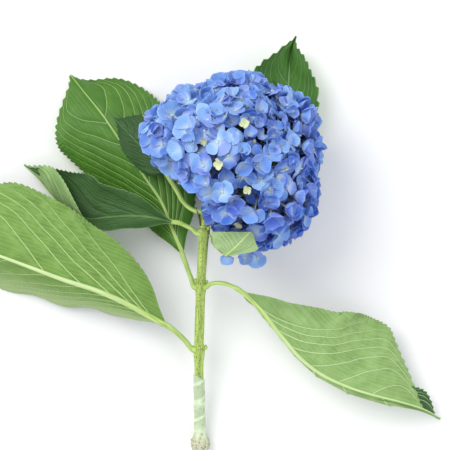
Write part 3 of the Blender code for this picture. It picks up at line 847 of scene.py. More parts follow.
def sepal_tissue(colours):
    """Fresh hydrangea sepal: a thin, dull velvety skin that lets some light through, paler at
    the claw and the rim, with fine veins that fan out from the claw."""
    made, shader, add = finish("hydrangea sepal tissue")
    deep, light, violet, claw, young = (np.array((*colour, 1.0)) for colour in colours)
    petal, tint, fresh = (
        add("ShaderNodeAttribute", attribute_name=key).outputs[output]
        for key, output in (("petal", "Vector"), ("tint", "Fac"), ("young", "Fac"))
    )
    side, up, lot = add("ShaderNodeSeparateXYZ", {0: petal}).outputs
    place = add("ShaderNodeTexCoord").outputs["Object"]
    # Cloudy tissue, 9 mm across.
    cloud = add("ShaderNodeTexNoise", {"Vector": place, "Scale": 110.0, "Detail": 2.0})
    # No two sepals of a floret are as light, or keep the pale claw as far out.
    lots = (add("ShaderNodeMath", {0: lot, 1: many}, operation="MULTIPLY") for many in (13.1, 7.3))
    own, far = (add("ShaderNodeMath", {0: part}, operation="FRACT") for part in lots)
    # Sepals go from deep to light blue by the floret's lightness, which holds painted light.
    blend = tint
    for change, share in ((cloud, 0.8), (own, 0.5)):
        change = add("ShaderNodeMath", {0: change, 1: -0.5}, operation="ADD")
        blend = add("ShaderNodeMath", {0: change, 1: share, 2: blend}, operation="MULTIPLY_ADD")
    far = add("ShaderNodeMath", {0: far, 1: 0.6, 2: 0.3}, operation="MULTIPLY_ADD")
    # Veins fanned from the claw, 1.6 mm apart at the widest: real ones are closer and would
    # not show.
    fan = add("ShaderNodeMath", {0: side, 1: 4.0}, operation="MULTIPLY")
    wander = add("ShaderNodeMath", {0: cloud, 1: 1.5, 2: fan}, operation="MULTIPLY_ADD")
    lines = add("ShaderNodeMath", {0: wander, 1: 0.5}, operation="PINGPONG")
    rim = add("ShaderNodeMath", {0: side}, operation="ABSOLUTE")
    rim = add("ShaderNodeMath", {0: rim, 1: up}, operation="MAXIMUM")
    # Each mask: what it is read from, the two ends of that, and the mask at each end.
    levels = (
        {"Value": lines, 1: 0.03, 2: 0.24, 3: 0.42, 4: 0.0},
        {"Value": rim, 1: 0.78, 2: 1.0, 3: 0.0, 4: 0.3},
        {"Value": up, 1: 0.0, 2: far, 3: 0.78, 4: 0.0},
    )
    veins, rim, heart = (
        add("ShaderNodeMapRange", level, interpolation_type="SMOOTHSTEP") for level in levels
    )
    layers = (
        (blend, light),
        (add("ShaderNodeMapRange", {"Value": lot, 1: 0.62, 2: 1.0, 3: 0.0, 4: 0.5}), violet),
        (veins, deep * 0.75),
        (rim, 0.5 * (light + (0.85, 0.9, 1.0, 1.0))),
        (heart, claw),
        (fresh, young),
    )
    skin = tuple(deep)
    for mask, over in layers:
        skin = add("ShaderNodeMix", {0: mask, 6: skin, 7: (*over[:3], 1)}, data_type="RGBA")
    bump = {"Height": veins, "Strength": 0.5, "Distance": 0.0004}
    looks = {
        "Base Color": skin,
        "Normal": add("ShaderNodeBump", bump, invert=True),
        "Roughness": 0.58,
        "Specular IOR Level": 0.35,
        "Sheen Weight": 0.12,
    }
    feed(shader, looks)
    through = add("ShaderNodeBsdfTranslucent", {"Color": skin})
    both = add("ShaderNodeMixShader", {0: 0.2, 1: shader, 2: through})
    feed(made.node_tree.nodes["Material Output"], {0: both})
    return made


def film_plastic(colour):
    """Thin wound florist's film: clear and glossy, milky where it overlaps and creases."""
    made, shader, add = finish("wound clear film")
    wound = add("ShaderNodeAttribute", attribute_name="wound").outputs["Fac"]
    place = add("ShaderNodeAttribute", attribute_name="skin_mm").outputs["Vector"]
    crumples = {"Vector": place, "Scale": 0.35, "Detail": 4.0, "Distortion": 0.8}
    crease = add("ShaderNodeTexNoise", crumples)
    milk = add("ShaderNodeMath", {0: crease, 1: 0.5, 2: wound}, operation="MULTIPLY_ADD")
    tones = {0: crease, 6: linear("c2dcac"), 7: (*colour, 1)}
    looks = {
        "Base Color": add("ShaderNodeMix", tones, data_type="RGBA"),
        "Alpha": add("ShaderNodeMapRange", {"Value": milk, 1: 0.15, 2: 1.0, 3: 0.42, 4: 0.95}),
        "Normal": add("ShaderNodeBump", {"Height": crease, "Strength": 0.6, "Distance": 0.0006}),
        "Roughness": 0.22,
        "IOR": 1.49,
    }
    feed(shader, looks)
    return made


def damp_tissue():
    """The sodden, crumpled wrap over the cut end: off-white pulp with brown flecks, dull."""
    made, shader, add = finish("damp pulp wrap")
    place = add("ShaderNodeAttribute", attribute_name="skin_mm").outputs["Vector"]
    pulp = add("ShaderNodeTexNoise", {"Vector": place, "Scale": 0.6, "Detail": 5.0})
    dirt = add("ShaderNodeTexVoronoi", {"Vector": place, "Scale": 0.3}, voronoi_dimensions="2D")
    specks = {"Value": dirt, 1: 0.08, 2: 0.24, 3: 0.8, 4: 0.0}
    specks = add("ShaderNodeMapRange", specks, interpolation_type="SMOOTHSTEP")
    skin = linear("adac84")
    for mask, over in ((pulp, linear("e0e3c8")), (specks, linear("5a4f33"))):
        skin = add("ShaderNodeMix", {0: mask, 6: skin, 7: over}, data_type="RGBA")
    looks = {
        "Base Color": skin,
        "Normal": add("ShaderNodeBump", {"Height": pulp, "Strength": 0.7, "Distance": 0.0008}),
        "Roughness": 0.75,
    }
    feed(shader, looks)
    return made


# ---------------------------------------------------------------- leaves


def vein_phase(at, shares, leaf, offset):
    """Counts the side veins: whole numbers lie on them, rising towards the tip."""
    at = at * leaf.get("kept", 1)
    starts, ends = np.array(leaf.get("veins", (VEIN_STARTS, VEIN_ENDS)))
    starts = starts + offset * 0.5 * (np.r_[starts[1:], LAST_START] - starts)
    ends = ends + offset * 0.5 * (np.r_[ends[1:], LAST_END] - ends)
    phase = np.zeros((len(at), len(shares)))
    for column, share in enumerate(shares):
        place = at + 0.006 * np.sin(9 * share + 31 * at + 7 * offset) * share
        slope = VEIN_START_SLOPE * share + (1 - VEIN_START_SLOPE) * share**VEIN_CURL
        knots = starts + (ends - starts) * slope
        count = smooth(knots, np.arange(len(knots)), np.clip(place, knots[0], knots[-1]))[:, 0]
        # Beyond the first and last vein the count runs on, but not as far as another vein.
        for sign, beyond in ((-1, knots[0] - place), (1, place - knots[-1])):
            count += sign * VEINS_BEYOND * (1 - np.exp(-np.maximum(beyond, 0) / BEYOND_FADE))
        phase[:, column] = count
    return phase


def half_reach(leaf, key, at):
    """How far one half of the blade reaches from its rib at each row, in mm."""
    if key + "_reach" in leaf:
        return spaced(leaf[key + "_reach"], at)
    turn = math.log(OVATE_WIDEST) / math.log(leaf["widest"])
    reach = leaf["half_width"] * smooth(*zip(*OVATE), at**turn)[:, 0]
    return reach * spaced(leaf.get(key + "_share", (1, 1)), at)


class Blade:
    """A leaf's blade as rows of points from margin to margin, with where each lies on it."""

    def __init__(self, leaf, settings, rng):
        self.leaf, self.settings = leaf, settings
        self.length = steps(leaf["rib"]).sum()
        self.teeth = round(self.length / leaf["tooth"][0])
        self.at = np.linspace(0, 1, self.teeth * TOOTH_ROWS + 1)
        self.columns = round(leaf["half_width"] / COLUMN_MM)
        self.shares = np.linspace(-1, 1, 2 * self.columns + 1)
        rib = along(leaf["rib"], self.at)
        self.ahead = units(np.gradient(rib, axis=0))
        flat = units(self.ahead * (1, 1, 0))
        left_way = np.stack((-flat[:, 1], flat[:, 0], 0 * self.at), axis=1)
        chord = unit((rib[-1] - rib[0]) * (1, 1, 0))
        left_way += leaf.get("steady", 0) * (np.array((-chord[1], chord[0], 0)) - left_way)
        self.left_way = units(left_way)
        if "across" in leaf:
            self.left_way[:] = leaf["across"]
        self.grid = np.repeat(rib[:, None], len(self.shares), axis=1)
        # Each point's place across from the rib, the half's width there, and its vein count.
        self.across, self.width, self.phase = (np.zeros(self.grid.shape[:2]) for _ in range(3))
        self.lay(1, "left", rng)
        self.lay(-1, "right", rng)

    def lay(self, side, key, rng):
        """Lays one half of the blade out from the rib, column by column, and adds its teeth."""
        leaf, at, columns = self.leaf, self.at, self.columns
        half = slice(columns, None) if side > 0 else slice(columns, None, -1)
        points = self.grid[:, half]
        slope, reach = spaced(leaf[key], at), half_reach(leaf, key, at)
        for step in range(1, columns + 1):
            middle = (step - 0.5) / columns
            angle = slope + leaf["bend"] * (1 - 2 * middle)
            if key + "_lip" in leaf:
                lip = spaced(leaf[key + "_lip"], at)
                angle = LIP_SLOPE + (angle - LIP_SLOPE) * ramp(middle * reach, lip, lip + LIP_CURL)
            angle = np.radians(angle)[:, None]
            out = side * self.left_way * np.cos(angle) + UP * np.sin(angle)
            points[:, step] = points[:, step - 1] + out * (reach / columns)[:, None]
        pitch, depth = leaf["tooth"]
        toothed = ramp(at, *TOOTHED_FROM)
        tooth, row = np.divmod(np.arange(len(at)), TOOTH_ROWS)
        size = depth * self.settings.tooth_depth * rng.uniform(*TOOTH_SIZES, self.teeth + 1)[tooth]
        size = np.minimum(size, reach * TOOTH_MOST) * toothed
        stand = (TOOTH_OUT[row] - TOOTH_MEAN) * size
        lead = TOOTH_AHEAD[row] * pitch * toothed
        moved = out * stand[:, None] + self.ahead * lead[:, None]
        shares = np.linspace(0, 1, columns + 1)
        points += moved[:, None] * (shares**TOOTH_FADE)[:, None]
        reach = np.maximum(reach, LEAST_REACH)[:, None]
        self.across[:, half] = side * shares * reach
        self.width[:, half] = reach
        self.phase[:, half] = vein_phase(at, shares, leaf, 0.0 if side > 0 else VEIN_OFFSET)

    def vein_gaps(self):
        """How far apart the side veins are at every point, in mm."""
        row_mm = self.length / (len(self.at) - 1)
        down = np.gradient(self.phase, axis=0) / row_mm
        aside = np.gradient(self.phase, axis=1)
        aside /= np.maximum(np.abs(np.gradient(self.across, axis=1)), 0.05)
        aside[:, : self.columns] *= -1
        down -= aside * np.gradient(self.across, axis=0) / row_mm
        return np.clip(1 / np.maximum(np.hypot(down, aside), 0.01), *VEIN_GAPS)

    def rise(self, gap, sign):
        """How far the tissue stands off the blade's middle surface: puffs, valleys and waves."""
        at, shares = self.at[:, None], self.shares
        off = np.abs(self.phase - np.round(self.phase))
        inside = np.maximum(self.width - np.abs(self.across), 0)
        calm = ramp(np.abs(self.across), 0.5, 4) * ramp(inside, 0, 3)
        puff = self.settings.puff / MM * np.minimum(gap / PUFF_GAP, 1)
        puff = puff * (4 * off * (1 - off)) ** 0.7
        valley = -VALLEY_DEPTH * mound(off * gap, 0, VALLEY_HALF)
        turn = 2 * math.pi * self.length / WAVE_LENGTH * at
        turn = turn + np.where(shares > 0, 0.6, 2.4) + 2 * shares
        wave = self.settings.wave / MM * np.abs(shares) ** 2.5 * np.sin(turn)
        return sign * (puff + valley) * calm + wave * ramp(at, 0.05, 0.25) * ramp(1 - at, 0.0, 0.2)

    def sheet(self):
        """(points, faces, looks, values, rib, normals at the rib) of the closed blade."""
        leaf, at, shares, across = self.leaf, self.at[:, None], self.shares, self.across
        sign = -1 if leaf.get("face") == "under" else 1
        gap = self.vein_gaps()
        normals = units(np.cross(np.gradient(self.grid, axis=0), np.gradient(self.grid, axis=1)))
        middle = self.grid + normals * self.rise(gap, sign)[..., None]
        half = BLADE_THICKNESS / 2 * (1 - 0.55 * np.abs(shares) ** 6)
        half = np.minimum(half, self.width / 6 + 0.05)[..., None]
        top, low = middle + normals * half, middle - normals * half
        top[..., 2] = np.maximum(top[..., 2], TABLE_CLEAR + BLADE_THICKNESS)
        low[..., 2] = np.maximum(low[..., 2], TABLE_CLEAR)
        faces, looks = sheet_faces(*across.shape)
        if sign < 0:
            looks = [1 - look for look in looks]
        # Veins and rib thin out towards the margin and the tip.
        vein_mm = leaf.get("vein_mm", VEIN_MM) * (1 - 0.6 * np.abs(shares)) * (1 - 0.35 * at) + 0.12
        vein_mm *= 1 - 0.7 * ramp(np.abs(shares), 0.8, 0.98)
        rib_mm = 0.25 + 1.2 * (1 - at * leaf.get("kept", 1)) ** 0.9
        fold_shaded = spaced(leaf.get("crease", (0, 0)), self.at)
        none = 0 * across
        # The two halves read the net of ladder veins far apart, so that they differ.
        far = np.where(shares < 0, 31.7, 0.0)
        values = {
            "vein_phase": self.phase,
            "vein_scale": gap / vein_mm,
            "rib_share": across / rib_mm,
            # A whitish sheen painted on the left half.
            "painted_sheen": leaf.get("painted_sheen", 0) * ramp(shares, 0.1, 0.9) + none,
            # Painted shade in the fold beside the rib.
            "crease": mound(across, -FOLD_SHADE_OUT, FOLD_SHADE_HALF) * fold_shaded[:, None],
            "edge_mm": np.minimum(self.width - np.abs(across), (1 - at) * self.length),
            "net": np.stack((self.phase * 1.3 + far, np.abs(across) * 0.44 + far, none), axis=-1),
            "blade_mm": np.stack((across, at * self.length + none, none), axis=-1),
        }
        for key, rows in values.items():
            values[key] = np.vstack((rows, rows)).reshape(-1, *rows.shape[2:])
        points = np.vstack((top, low)).reshape(-1, 3)
        return points, faces, looks, values, middle[:, self.columns], normals[:, self.columns]


def stalk_and_rib(leaf, rib, normals, radius):
    """(points, faces, values) of the leaf stalk, from inside the stem's joint to the rib's tip."""
    stalk = np.array(leaf["stalk"], float)
    axis = STEM_FOOT + STEM_WAY * ((stalk[0] - STEM_FOOT) @ STEM_WAY)
    out = unit(stalk[0] - axis)
    line = np.vstack((axis + out * 1.5, axis + out * (STEM_RADIUS + 0.6), stalk[1:]))
    at = np.linspace(0, 1, STALK_ROWS, endpoint=False)
    usual = radius * leaf.get("stout", 1)
    blend = ramp(at, 0.55, 1.0)
    foot = usual * (1 + 0.55 * mound(at * steps(line).sum(), 0, 5))
    foot = foot * (1 - blend) + usual * 0.98 * blend
    share = np.linspace(0, 1, len(rib)) * leaf.get("kept", 1)
    taper = usual * (0.88 * (1 - share) ** leaf.get("slim", RIB_SLIM) + 0.1)
    below = 1 if leaf.get("face") == "under" else -1
    sunk = rib + normals * below * (taper * leaf.get("sunk", RIB_SUNK))[:, None]
    # The blade's first normal, turned smoothly into the stem's own way at the foot.
    ups = normals[0] * blend[:, None] + (below * -STEM_WAY) * (1 - blend)[:, None]
    ups = np.vstack((ups, normals[::2])) * -below
    line = np.vstack((along(line, at), sunk[::2]))
    thick = np.r_[foot, taper[::2]]
    points, faces, turns = tube(line, thick, thick * 0.86, STALK_SIDES, ups, 0.16)
    pale = np.r_[0 * foot, ramp(share[::2], 0, 0.35) * leaf.get("pale", RIB_PALE)]
    place = skin_place(turns, np.r_[0, np.cumsum(steps(line))])
    return points, faces, {"skin_mm": place, "pale": np.repeat(pale, STALK_SIDES)}


def share_setting(name, description, least, most):
    """A share that a user may change, at first 1."""
    limits = {"default": 1.0, "min": least, "max": most}
    return FloatProperty(name=name, description=description, subtype="FACTOR", **limits)


def length_setting(name, description, mm, least, most):
    """A length that a user may change, given here in mm and kept in metres."""
    limits = {"default": mm * MM, "min": least * MM, "max": most * MM}
    return FloatProperty(name=name, description=description, unit="LENGTH", precision=5, **limits)


def colour_setting(name, description, hex_colour):
    """A colour that a user may change."""
    limits = {"default": linear(hex_colour)[:3], "min": 0, "max": 1}
    return FloatVectorProperty(name=name, description=description, subtype="COLOR", **limits)


class LeafSettings(bpy.types.PropertyGroup):
    tooth_depth: share_setting("Tooth depth", "Share of each leaf's own tooth depth", 0, 2)
    puff: length_setting("Puff", "How far the tissue puffs up between side veins", 0.9, 0, 3)
    wave: length_setting("Wave", "How far the margin waves", 1.3, 0, 5)
    stalk_radius: length_setting("Stalk radius", "Radius of a leaf stalk", 2.05, 1, 4)


class StemSettings(bpy.types.PropertyGroup):
    radius: length_setting("Stem radius", "Radius between joints", STEM_RADIUS, 2, 6)
    sides: IntProperty(name="Sides", description="Points round the stem", default=28, min=8, max=64)
    film_colour: colour_setting("Film colour", "Colour of the milky film", "e6f2d8")


class FloretSettings(bpy.types.PropertyGroup):
    size: share_setting("Floret size", "Share of the usual floret size", 0.5, 1.5)
    lean: FloatProperty(
        name="Lean",
        description="Most that a floret leans off its dome",
        subtype="ANGLE",
        default=0.35,
        min=0,
        max=1,
    )
    seed: IntProperty(name="Seed", description="Seed of the florets' lean", default=7)
    pedicel_radius: length_setting("Pedicel radius", "Radius of a floret's stalk", 0.5, 0.2, 1)
    deep: colour_setting("Deep blue", "Shaded sepals", "3c74e4")
    light: colour_setting("Light blue", "Pale sepals", "a2ceff")
    violet: colour_setting("Violet", "Violet sepals", "9292ee")
    claw: colour_setting("Claw", "Floret centres", "d8ecf2")
    young: colour_setting("Young", "Unopened florets", "eef4cc")


class StageSettings(bpy.types.PropertyGroup):
    floor: colour_setting("Floor", "Colour of the floor", "f6f6f6")
    sky: FloatProperty(
        name="Sky", description="Strength of the light from all round", default=0.88, min=0, max=3
    )
    key: FloatProperty(
        name="Key light",
        description="Power of the large soft light",
        subtype="POWER",
        default=18.0,
        min=0,
        max=500,
    )


class HYDRANGEA_OT_leaves(bpy.types.Operator):
    """Make the seven leaves with their stalks"""

    bl_idname = "hydrangea.leaves"
    bl_label = "Leaves"

    def execute(self, context):
        settings = context.scene.hydrangea_leaves
        rng = np.random.default_rng(LEAF_SEED)
        stalk_skin = green_skin("leaf stalk skin", ("93b450", "c6dd88"), 0.0, 1.0)
        for name, leaf in LEAVES.items():
            upper, under, vein = leaf["colours"]
            title = name.replace("_", " ")
            looks = [
                leaf_face(f"{title} waxy upper face", upper, vein, True),
                leaf_face(f"{title} dull underside", under, vein, False),
                stalk_skin,
            ]
            body = Body()
            points, faces, face_looks, values, rib, normals = Blade(leaf, settings, rng).sheet()
            body.add(points, faces, face_looks, **values)
            points, faces, values = stalk_and_rib(leaf, rib, normals, settings.stalk_radius / MM)
            body.add(points, faces, 2, **values)
            body.piece(f"{name}_blade", looks, "leaf", name)
        return {"FINISHED"}


# ---------------------------------------------------------------- stem


def stem_radius(up, radius):
    """The stem's radius with its swollen joints, and the fine ring of a leaf scar on each."""
    swell = sum(mound(up, joint, JOINT_HALF) for joint in STEM_JOINTS)
    scar = sum(mound(up, joint + SCAR_UP, SCAR_HALF) for joint in STEM_JOINTS)
    return radius + JOINT_SWELL * swell + SCAR_RIDGE * scar


def out_of_stem(up, degrees, radius):
    """(the way out of the stem there, the point that far from its middle line)"""
    turn = math.radians(degrees)
    out = STEM_SIDE * math.cos(turn) + STEM_OVER * math.sin(turn)
    return out, STEM_FOOT + STEM_WAY * up + out * radius


def round_stem(turns, rise, radius):
    """Points round the stem at the given turns, heights and distances from its middle line."""
    way = STEM_SIDE * np.cos(turns)[:, None] + STEM_OVER * np.sin(turns)[:, None]
    return (STEM_FOOT + STEM_WAY * rise[..., None] + way * radius[..., None]).reshape(-1, 3)


class HYDRANGEA_OT_stem(bpy.types.Operator):
    """Make the green stem with its joints, buds and bracts"""

    bl_idname = "hydrangea.stem"
    bl_label = "Stem"

    def execute(self, context):
        sides, radius = context.scene.hydrangea_stem.sides, context.scene.hydrangea_stem.radius / MM
        ups = np.r_[0, 0.4, np.arange(STEM_ROW, STEM_LENGTH, STEM_ROW), STEM_LENGTH]
        thick = stem_radius(ups, radius)
        thick[0] -= CUT_BEVEL
        line = STEM_FOOT + STEM_WAY * ups[:, None]
        points, faces, turns = tube(line, thick, thick, sides, STEM_OVER)
        rise = np.repeat(ups, sides)
        # Low ribs that run up the stem, and a slow wander of its surface.
        away = units(points - np.repeat(line, sides, axis=0))
        ripple = 0.06 * np.sin(9 * turns) + 0.12 * np.sin(rise / 13 + 2 * turns)
        # Darker: painted shade along the top side and on the upper flank, and the leaf scars.
        dark = 0.4 * mound(turns, 1.45, 0.5)
        for joint, depth in zip(STEM_JOINTS, SCAR_DARKNESS):
            dark = np.maximum(dark, depth * mound(rise - 0.8 * np.sin(turns), joint + 3.6, 0.9))
        dark = np.maximum(dark, 0.62 * mound(turns, 0.5, 0.6) * ramp(rise, *SHADED_FROM))
        body = Body()
        place = skin_place(turns, ups, thick.mean())
        body.add(points + away * ripple[:, None], faces, 0, skin_mm=place, dark=dark)
        for up, degrees, length, breadth in BUDS:
            out, root = out_of_stem(up, degrees, radius - BUD_ROOT)
            tip = root + out * length * 0.55 + STEM_WAY * length
            at = np.linspace(0, 1, 9)
            wide = breadth * np.sin(math.pi * np.clip(at, 0.12, 0.97)) ** 0.6
            line = along((root, (root + tip) / 2 + out * 0.8, tip), at)
            points, faces, turns = tube(line, wide, wide * 0.8, 10, out)
            body.add(points, faces, 0, skin_mm=skin_place(turns, at * length))
        for up, degrees, length, breadth in BRACTS:
            out, root = out_of_stem(up, degrees, radius - BRACT_ROOT)
            middle = root + STEM_WAY * length * 0.5 + out * 1.6
            at = np.linspace(0, 1, 12)
            wide = breadth * np.sin(math.pi * np.clip(at * 0.86 + 0.12, 0, 0.985)) ** 0.8
            line = along((root, middle, root + STEM_WAY * length + out * 4.5), at)
            points, faces, turns = tube(line, wide, BRACT_THICKNESS, 8, out)
            body.add(points, faces, 1, skin_mm=skin_place(turns, at * length))
        looks = [
            green_skin("stem skin", ("8eaa48", "c8e07a"), 0.95, 1.0),
            green_skin("withered bract", ("3a3a2c", "6b6440"), 0.2, 2.0),
        ]
        body.piece("stem_skin", looks, "stem", "stem")
        return {"FINISHED"}


class HYDRANGEA_OT_film(bpy.types.Operator):
    """Make the film wound round the foot of the stem and the wrap over its cut end"""

    bl_idname = "hydrangea.film"
    bl_label = "Film"

    def execute(self, context):
        settings = context.scene.hydrangea_stem
        turns = np.linspace(0, 2 * math.pi, FILM_SIDES, endpoint=False)
        top = FILM_TOP + 2.5 * np.cos(turns - 2.6)
        rise = FILM_FOOT + np.linspace(0, 1, FILM_ROWS)[:, None] * (top - FILM_FOOT)
        wind = (rise / FILM_TURN + turns / (2 * math.pi)) % 1
        fold = 0.16 * np.sin(5 * turns + rise * 0.33) + 0.1 * np.sin(11 * turns - rise * 0.21)
        outer = FILM_OUTER + 0.3 * wind + fold * 0.9 + 1.2 * mound(rise, 9, 4)
        shells = [round_stem(turns, rise, radius) for radius in (outer, np.full_like(outer, FILM_INNER))]
        sleeve = hoops(FILM_ROWS, FILM_SIDES)
        ring = np.arange(FILM_SIDES)
        after = np.roll(ring, -1)
        foot = np.stack((ring, ring + rise.size, after + rise.size, after), -1)
        head = flipped(foot) + rise.size - FILM_SIDES
        faces = np.vstack((sleeve, flipped(sleeve) + rise.size, foot, head)).tolist()
        # Milky where turns of the film overlap, and in two gathered bands.
        overlap = mound(wind, 0.08, 0.1) + 0.7 * mound(rise, 40, 3) + 0.9 * mound(rise, 14, 7)
        wound = np.tile(np.clip(overlap, 0, 1).ravel(), 2)
        place = np.tile(skin_place(np.tile(turns, FILM_ROWS), rise.ravel(), 4.6), (2, 1))
        winding = Body()
        winding.add(np.vstack(shells), faces, wound=wound, skin_mm=place)
        winding.piece("stem_film_winding", [film_plastic(settings.film_colour)], "film", "stem_film")
        # The gathered wrap below it: a closed, pleated cup round the cut end.
        at = np.linspace(0, 1, WRAP_ROWS)
        ups, radii = spaced(WRAP_HEIGHTS, at)[:, None], spaced(WRAP_RADII, at)[:, None]
        pleat = 0.09 * np.sin(9 * turns + ups * 0.5) + 0.06 * np.sin(17 * turns - ups)
        radii = radii * (1 + pleat * ramp(WRAP_HEIGHTS[0] - ups, 0, 7))
        ups = ups + 0.5 * np.sin(5 * turns + 1) * ramp(radii, 2, 6)
        ends = [ring.tolist(), (ring[::-1] + ups.size - FILM_SIDES).tolist()]
        faces = flipped(hoops(WRAP_ROWS, FILM_SIDES)).tolist() + ends
        place = skin_place(np.tile(turns, WRAP_ROWS), ups.ravel(), 6.0)
        wrap = Body()
        wrap.add(round_stem(turns, ups, radii), faces, skin_mm=place)
        wrap.piece("stem_end_wrap", [damp_tissue()], "film")
        return {"FINISHED"}


# ---------------------------------------------------------------- head

# Where a floret stands: the number of its branch, its eye, the way it faces, its size, kind,
# turn and lightness with painted light in it, and how freely it leans.
Seat = namedtuple("Seat", "branch place facing size kind turn tint lean")


def dome_seat(way):
    """(branch, place, facing) of a floret that stands in the given direction from the middle."""
    branch = int(np.argmax(KNOT_WAYS @ way))
    offset = KNOTS[branch] - HEAD_MIDDLE
    ahead = way @ offset
    distance = ahead + math.sqrt(max(ahead**2 - offset @ offset + DOME_RADIUS**2, 1))
    place = HEAD_MIDDLE + way * distance
    return branch, place, unit(place - KNOTS[branch])


def dome_top(x, y):
    """(branch, place, facing) of the highest dome over a place on the table."""
    square = (KNOTS[:, 0] - x) ** 2 + (KNOTS[:, 1] - y) ** 2
    height = KNOTS[:, 2] + np.sqrt(np.maximum(DOME_RADIUS**2 - square, 0))
    height = np.where(square < DOME_RADIUS**2, height, -1)
    branch = int(np.argmax(height)) if height.max() > 0 else int(np.argmin(square))
    facing = unit(np.array((x, y, max(height.max(), KNOTS[branch, 2]))) - KNOTS[branch])
    return branch, KNOTS[branch] + facing * DOME_RADIUS, facing


def within(place, inside=EYE_INSIDE):
    """(the place drawn in until it is inside the head's outline, whether it was near that)"""
    across, up = place[:2] - HEAD_MIDDLE[:2]
    share = math.atan2(up, across) / (2 * math.pi) % 1 * len(HEAD_REACH)
    before, after = (HEAD_REACH[(int(share) + step) % len(HEAD_REACH)] for step in (0, 1))
    most = before + (after - before) * (share - int(share)) - inside
    reach = math.hypot(across, up)
    if reach <= most:
        return place, True
    drawn = (HEAD_MIDDLE[0] + across * most / reach, HEAD_MIDDLE[1] + up * most / reach, place[2])
    return np.array(drawn), reach < most + TOO_FAR


def small(place):
    """The share of the usual size of a floret there: the youngest stand close together."""
    off = math.hypot(place[0] - YOUNG_MIDDLE[0], place[1] - YOUNG_MIDDLE[1])
    return 1 - YOUNG_SMALLER * math.exp(-((off / YOUNG_REACH) ** 4)) * (place[2] > HEAD_MIDDLE[2])


def in_cone(way, axis, degrees):
    """Whether a direction lies within so many degrees of another."""
    return way @ axis > math.cos(math.radians(degrees))


def tone_and_painted_light_of(rng, way, middle=TINT_MIDDLE, spread=TINT_SPREAD):
    """The lightness of a floret that looks that way: its own tone with painted light."""
    return middle + PAINTED_LIGHT_SHARE * float(way @ unit(LIGHT_WAY)) + rng.uniform(-spread, spread)


def nearest(points, place):
    """(the number of the nearest of the points, how far it is)"""
    off = np.linalg.norm(points - place, axis=1)
    return int(np.argmin(off)), off.min()


def spiral_ways(count, start=0):
    """Directions spread evenly over a ball."""
    golden = math.pi * (3 - math.sqrt(5))
    for number in range(count):
        height = 1 - 2 * (number + 0.5) / count
        ring = math.sqrt(1 - height * height)
        turn = golden * number + start
        yield np.array((ring * math.cos(turn), ring * math.sin(turn), height))


def turned_away(facing, place):
    """The way a floret there faces, once the head's far side is turned away."""
    return unit(facing + TURNED_AWAY * ramp(place[0], *TURNED_FROM))


def sunk_seat(rng, branch, place, facing, size, kind, turn, lean, sink):
    """The seat of a floret sunk into its dome, or none if it is far outside the head."""
    tint = tone_and_painted_light_of(rng, unit(place - HEAD_MIDDLE))
    facing = turned_away(facing, place)
    place, near = within(place - facing * (sink + SUNK))
    return [Seat(branch, place, facing, size, kind, turn, tint, lean)] if near else []


def seats_by_hand(rng):
    """The florets that hang free, and those set where the head shows them best."""
    for x, y, z, radius, kind, turn, facing in HANGING:
        place = np.array((x, y, z))
        tint = max(tone_and_painted_light_of(rng, unit(place - HEAD_MIDDLE)), HANGING_TINT)
        size, facing = radius / FLORET_RADIUS, turned_away(unit(np.array(facing)), place)
        branch = nearest(KNOTS, place)[0]
        yield Seat(branch, place, facing, size, kind, math.radians(turn), tint, 0.0)
    for x, y, radius, kind, turn in PLACED:
        branch, place, facing = dome_top(x, y)
        size = radius / FLORET_RADIUS * PLACED_SIZE * small(place)
        yield from sunk_seat(rng, branch, place, facing, size, kind, math.radians(turn), 0.9, 0.0)


def seats_to_fill(rng, placed):
    """Florets spread over the domes, clear of those listed one by one and of the hollows."""
    for way in spiral_ways(FILL_FLORETS):
        draw = rng.uniform(size=6)
        kind = FILL_KINDS[int(draw[0] * FILL_DEAL)]
        if in_cone(way, STEM_FROM_HEAD, FILL_BARE):
            continue
        branch, place, facing = dome_seat(way)
        crowd = small(place)
        hollow = any(math.hypot(x - place[0], y - place[1]) < radius for x, y, radius in HOLLOWS)
        if nearest(placed, place)[1] < FILL_APART[crowd < 0.9] or (facing[2] > 0.1 and hollow):
            continue
        sink = 1 + 4 * draw[1] + PRESSED_SINK * in_cone(way, way_of(*PRESSED_WAY), PRESSED_SPREAD)
        size = (0.86 + 0.3 * draw[2]) * crowd * (0.5 if kind == "young" else 1)
        lean = 0.6 + 1.4 * draw[4]
        yield from sunk_seat(rng, branch, place, facing, size, kind, draw[3] * 2 * math.pi, lean, sink)


def seats_on_rim(rng, placed):
    """A ring of florets that look outwards and close the head's outline."""
    for number in range(RIM_FLORETS):
        draw = rng.uniform(size=6)
        turn = 2 * math.pi * (number + 0.4 * draw[0]) / RIM_FLORETS
        out = np.array((math.cos(turn), math.sin(turn), 0.0))
        beyond = HEAD_MIDDLE + out * RIM_BEYOND + UP * (28 * draw[1] - 10)
        place, _ = within(beyond, RIM_INSIDE + 5 * draw[2])
        bare = in_cone(unit(place - HEAD_MIDDLE), STEM_FROM_HEAD, RIM_BARE)
        if bare or nearest(placed, place)[1] < RIM_APART:
            continue
        facing = unit(out + UP * (0.2 + 0.8 * draw[3]))
        tint = tone_and_painted_light_of(rng, facing, *RIM_TINT)
        size, kind = 0.78 + 0.24 * draw[4], RIM_KINDS[number % len(RIM_KINDS)]
        branch = nearest(KNOTS, place)[0]
        yield Seat(branch, place, facing, size, kind, RIM_TURN * draw[5], tint, 0.9)


def seats_inside(rng):
    """A second layer of florets, in the shade of the first."""
    for way in spiral_ways(INNER_FLORETS, 1):
        if in_cone(way, STEM_FROM_HEAD, INNER_BARE):
            continue
        branch, place, facing = dome_seat(way)
        draw = rng.uniform(size=3)
        depth = INNER_SINK[0] + INNER_SINK[1] * draw[0]
        place, near = within(place - facing * depth, EYE_INSIDE + 4)
        if near:
            turn, tint = draw[1] * 2 * math.pi, INNER_TINT * draw[2]
            yield Seat(branch, place, facing, INNER_SIZE, "half", turn, tint, INNER_LEAN)


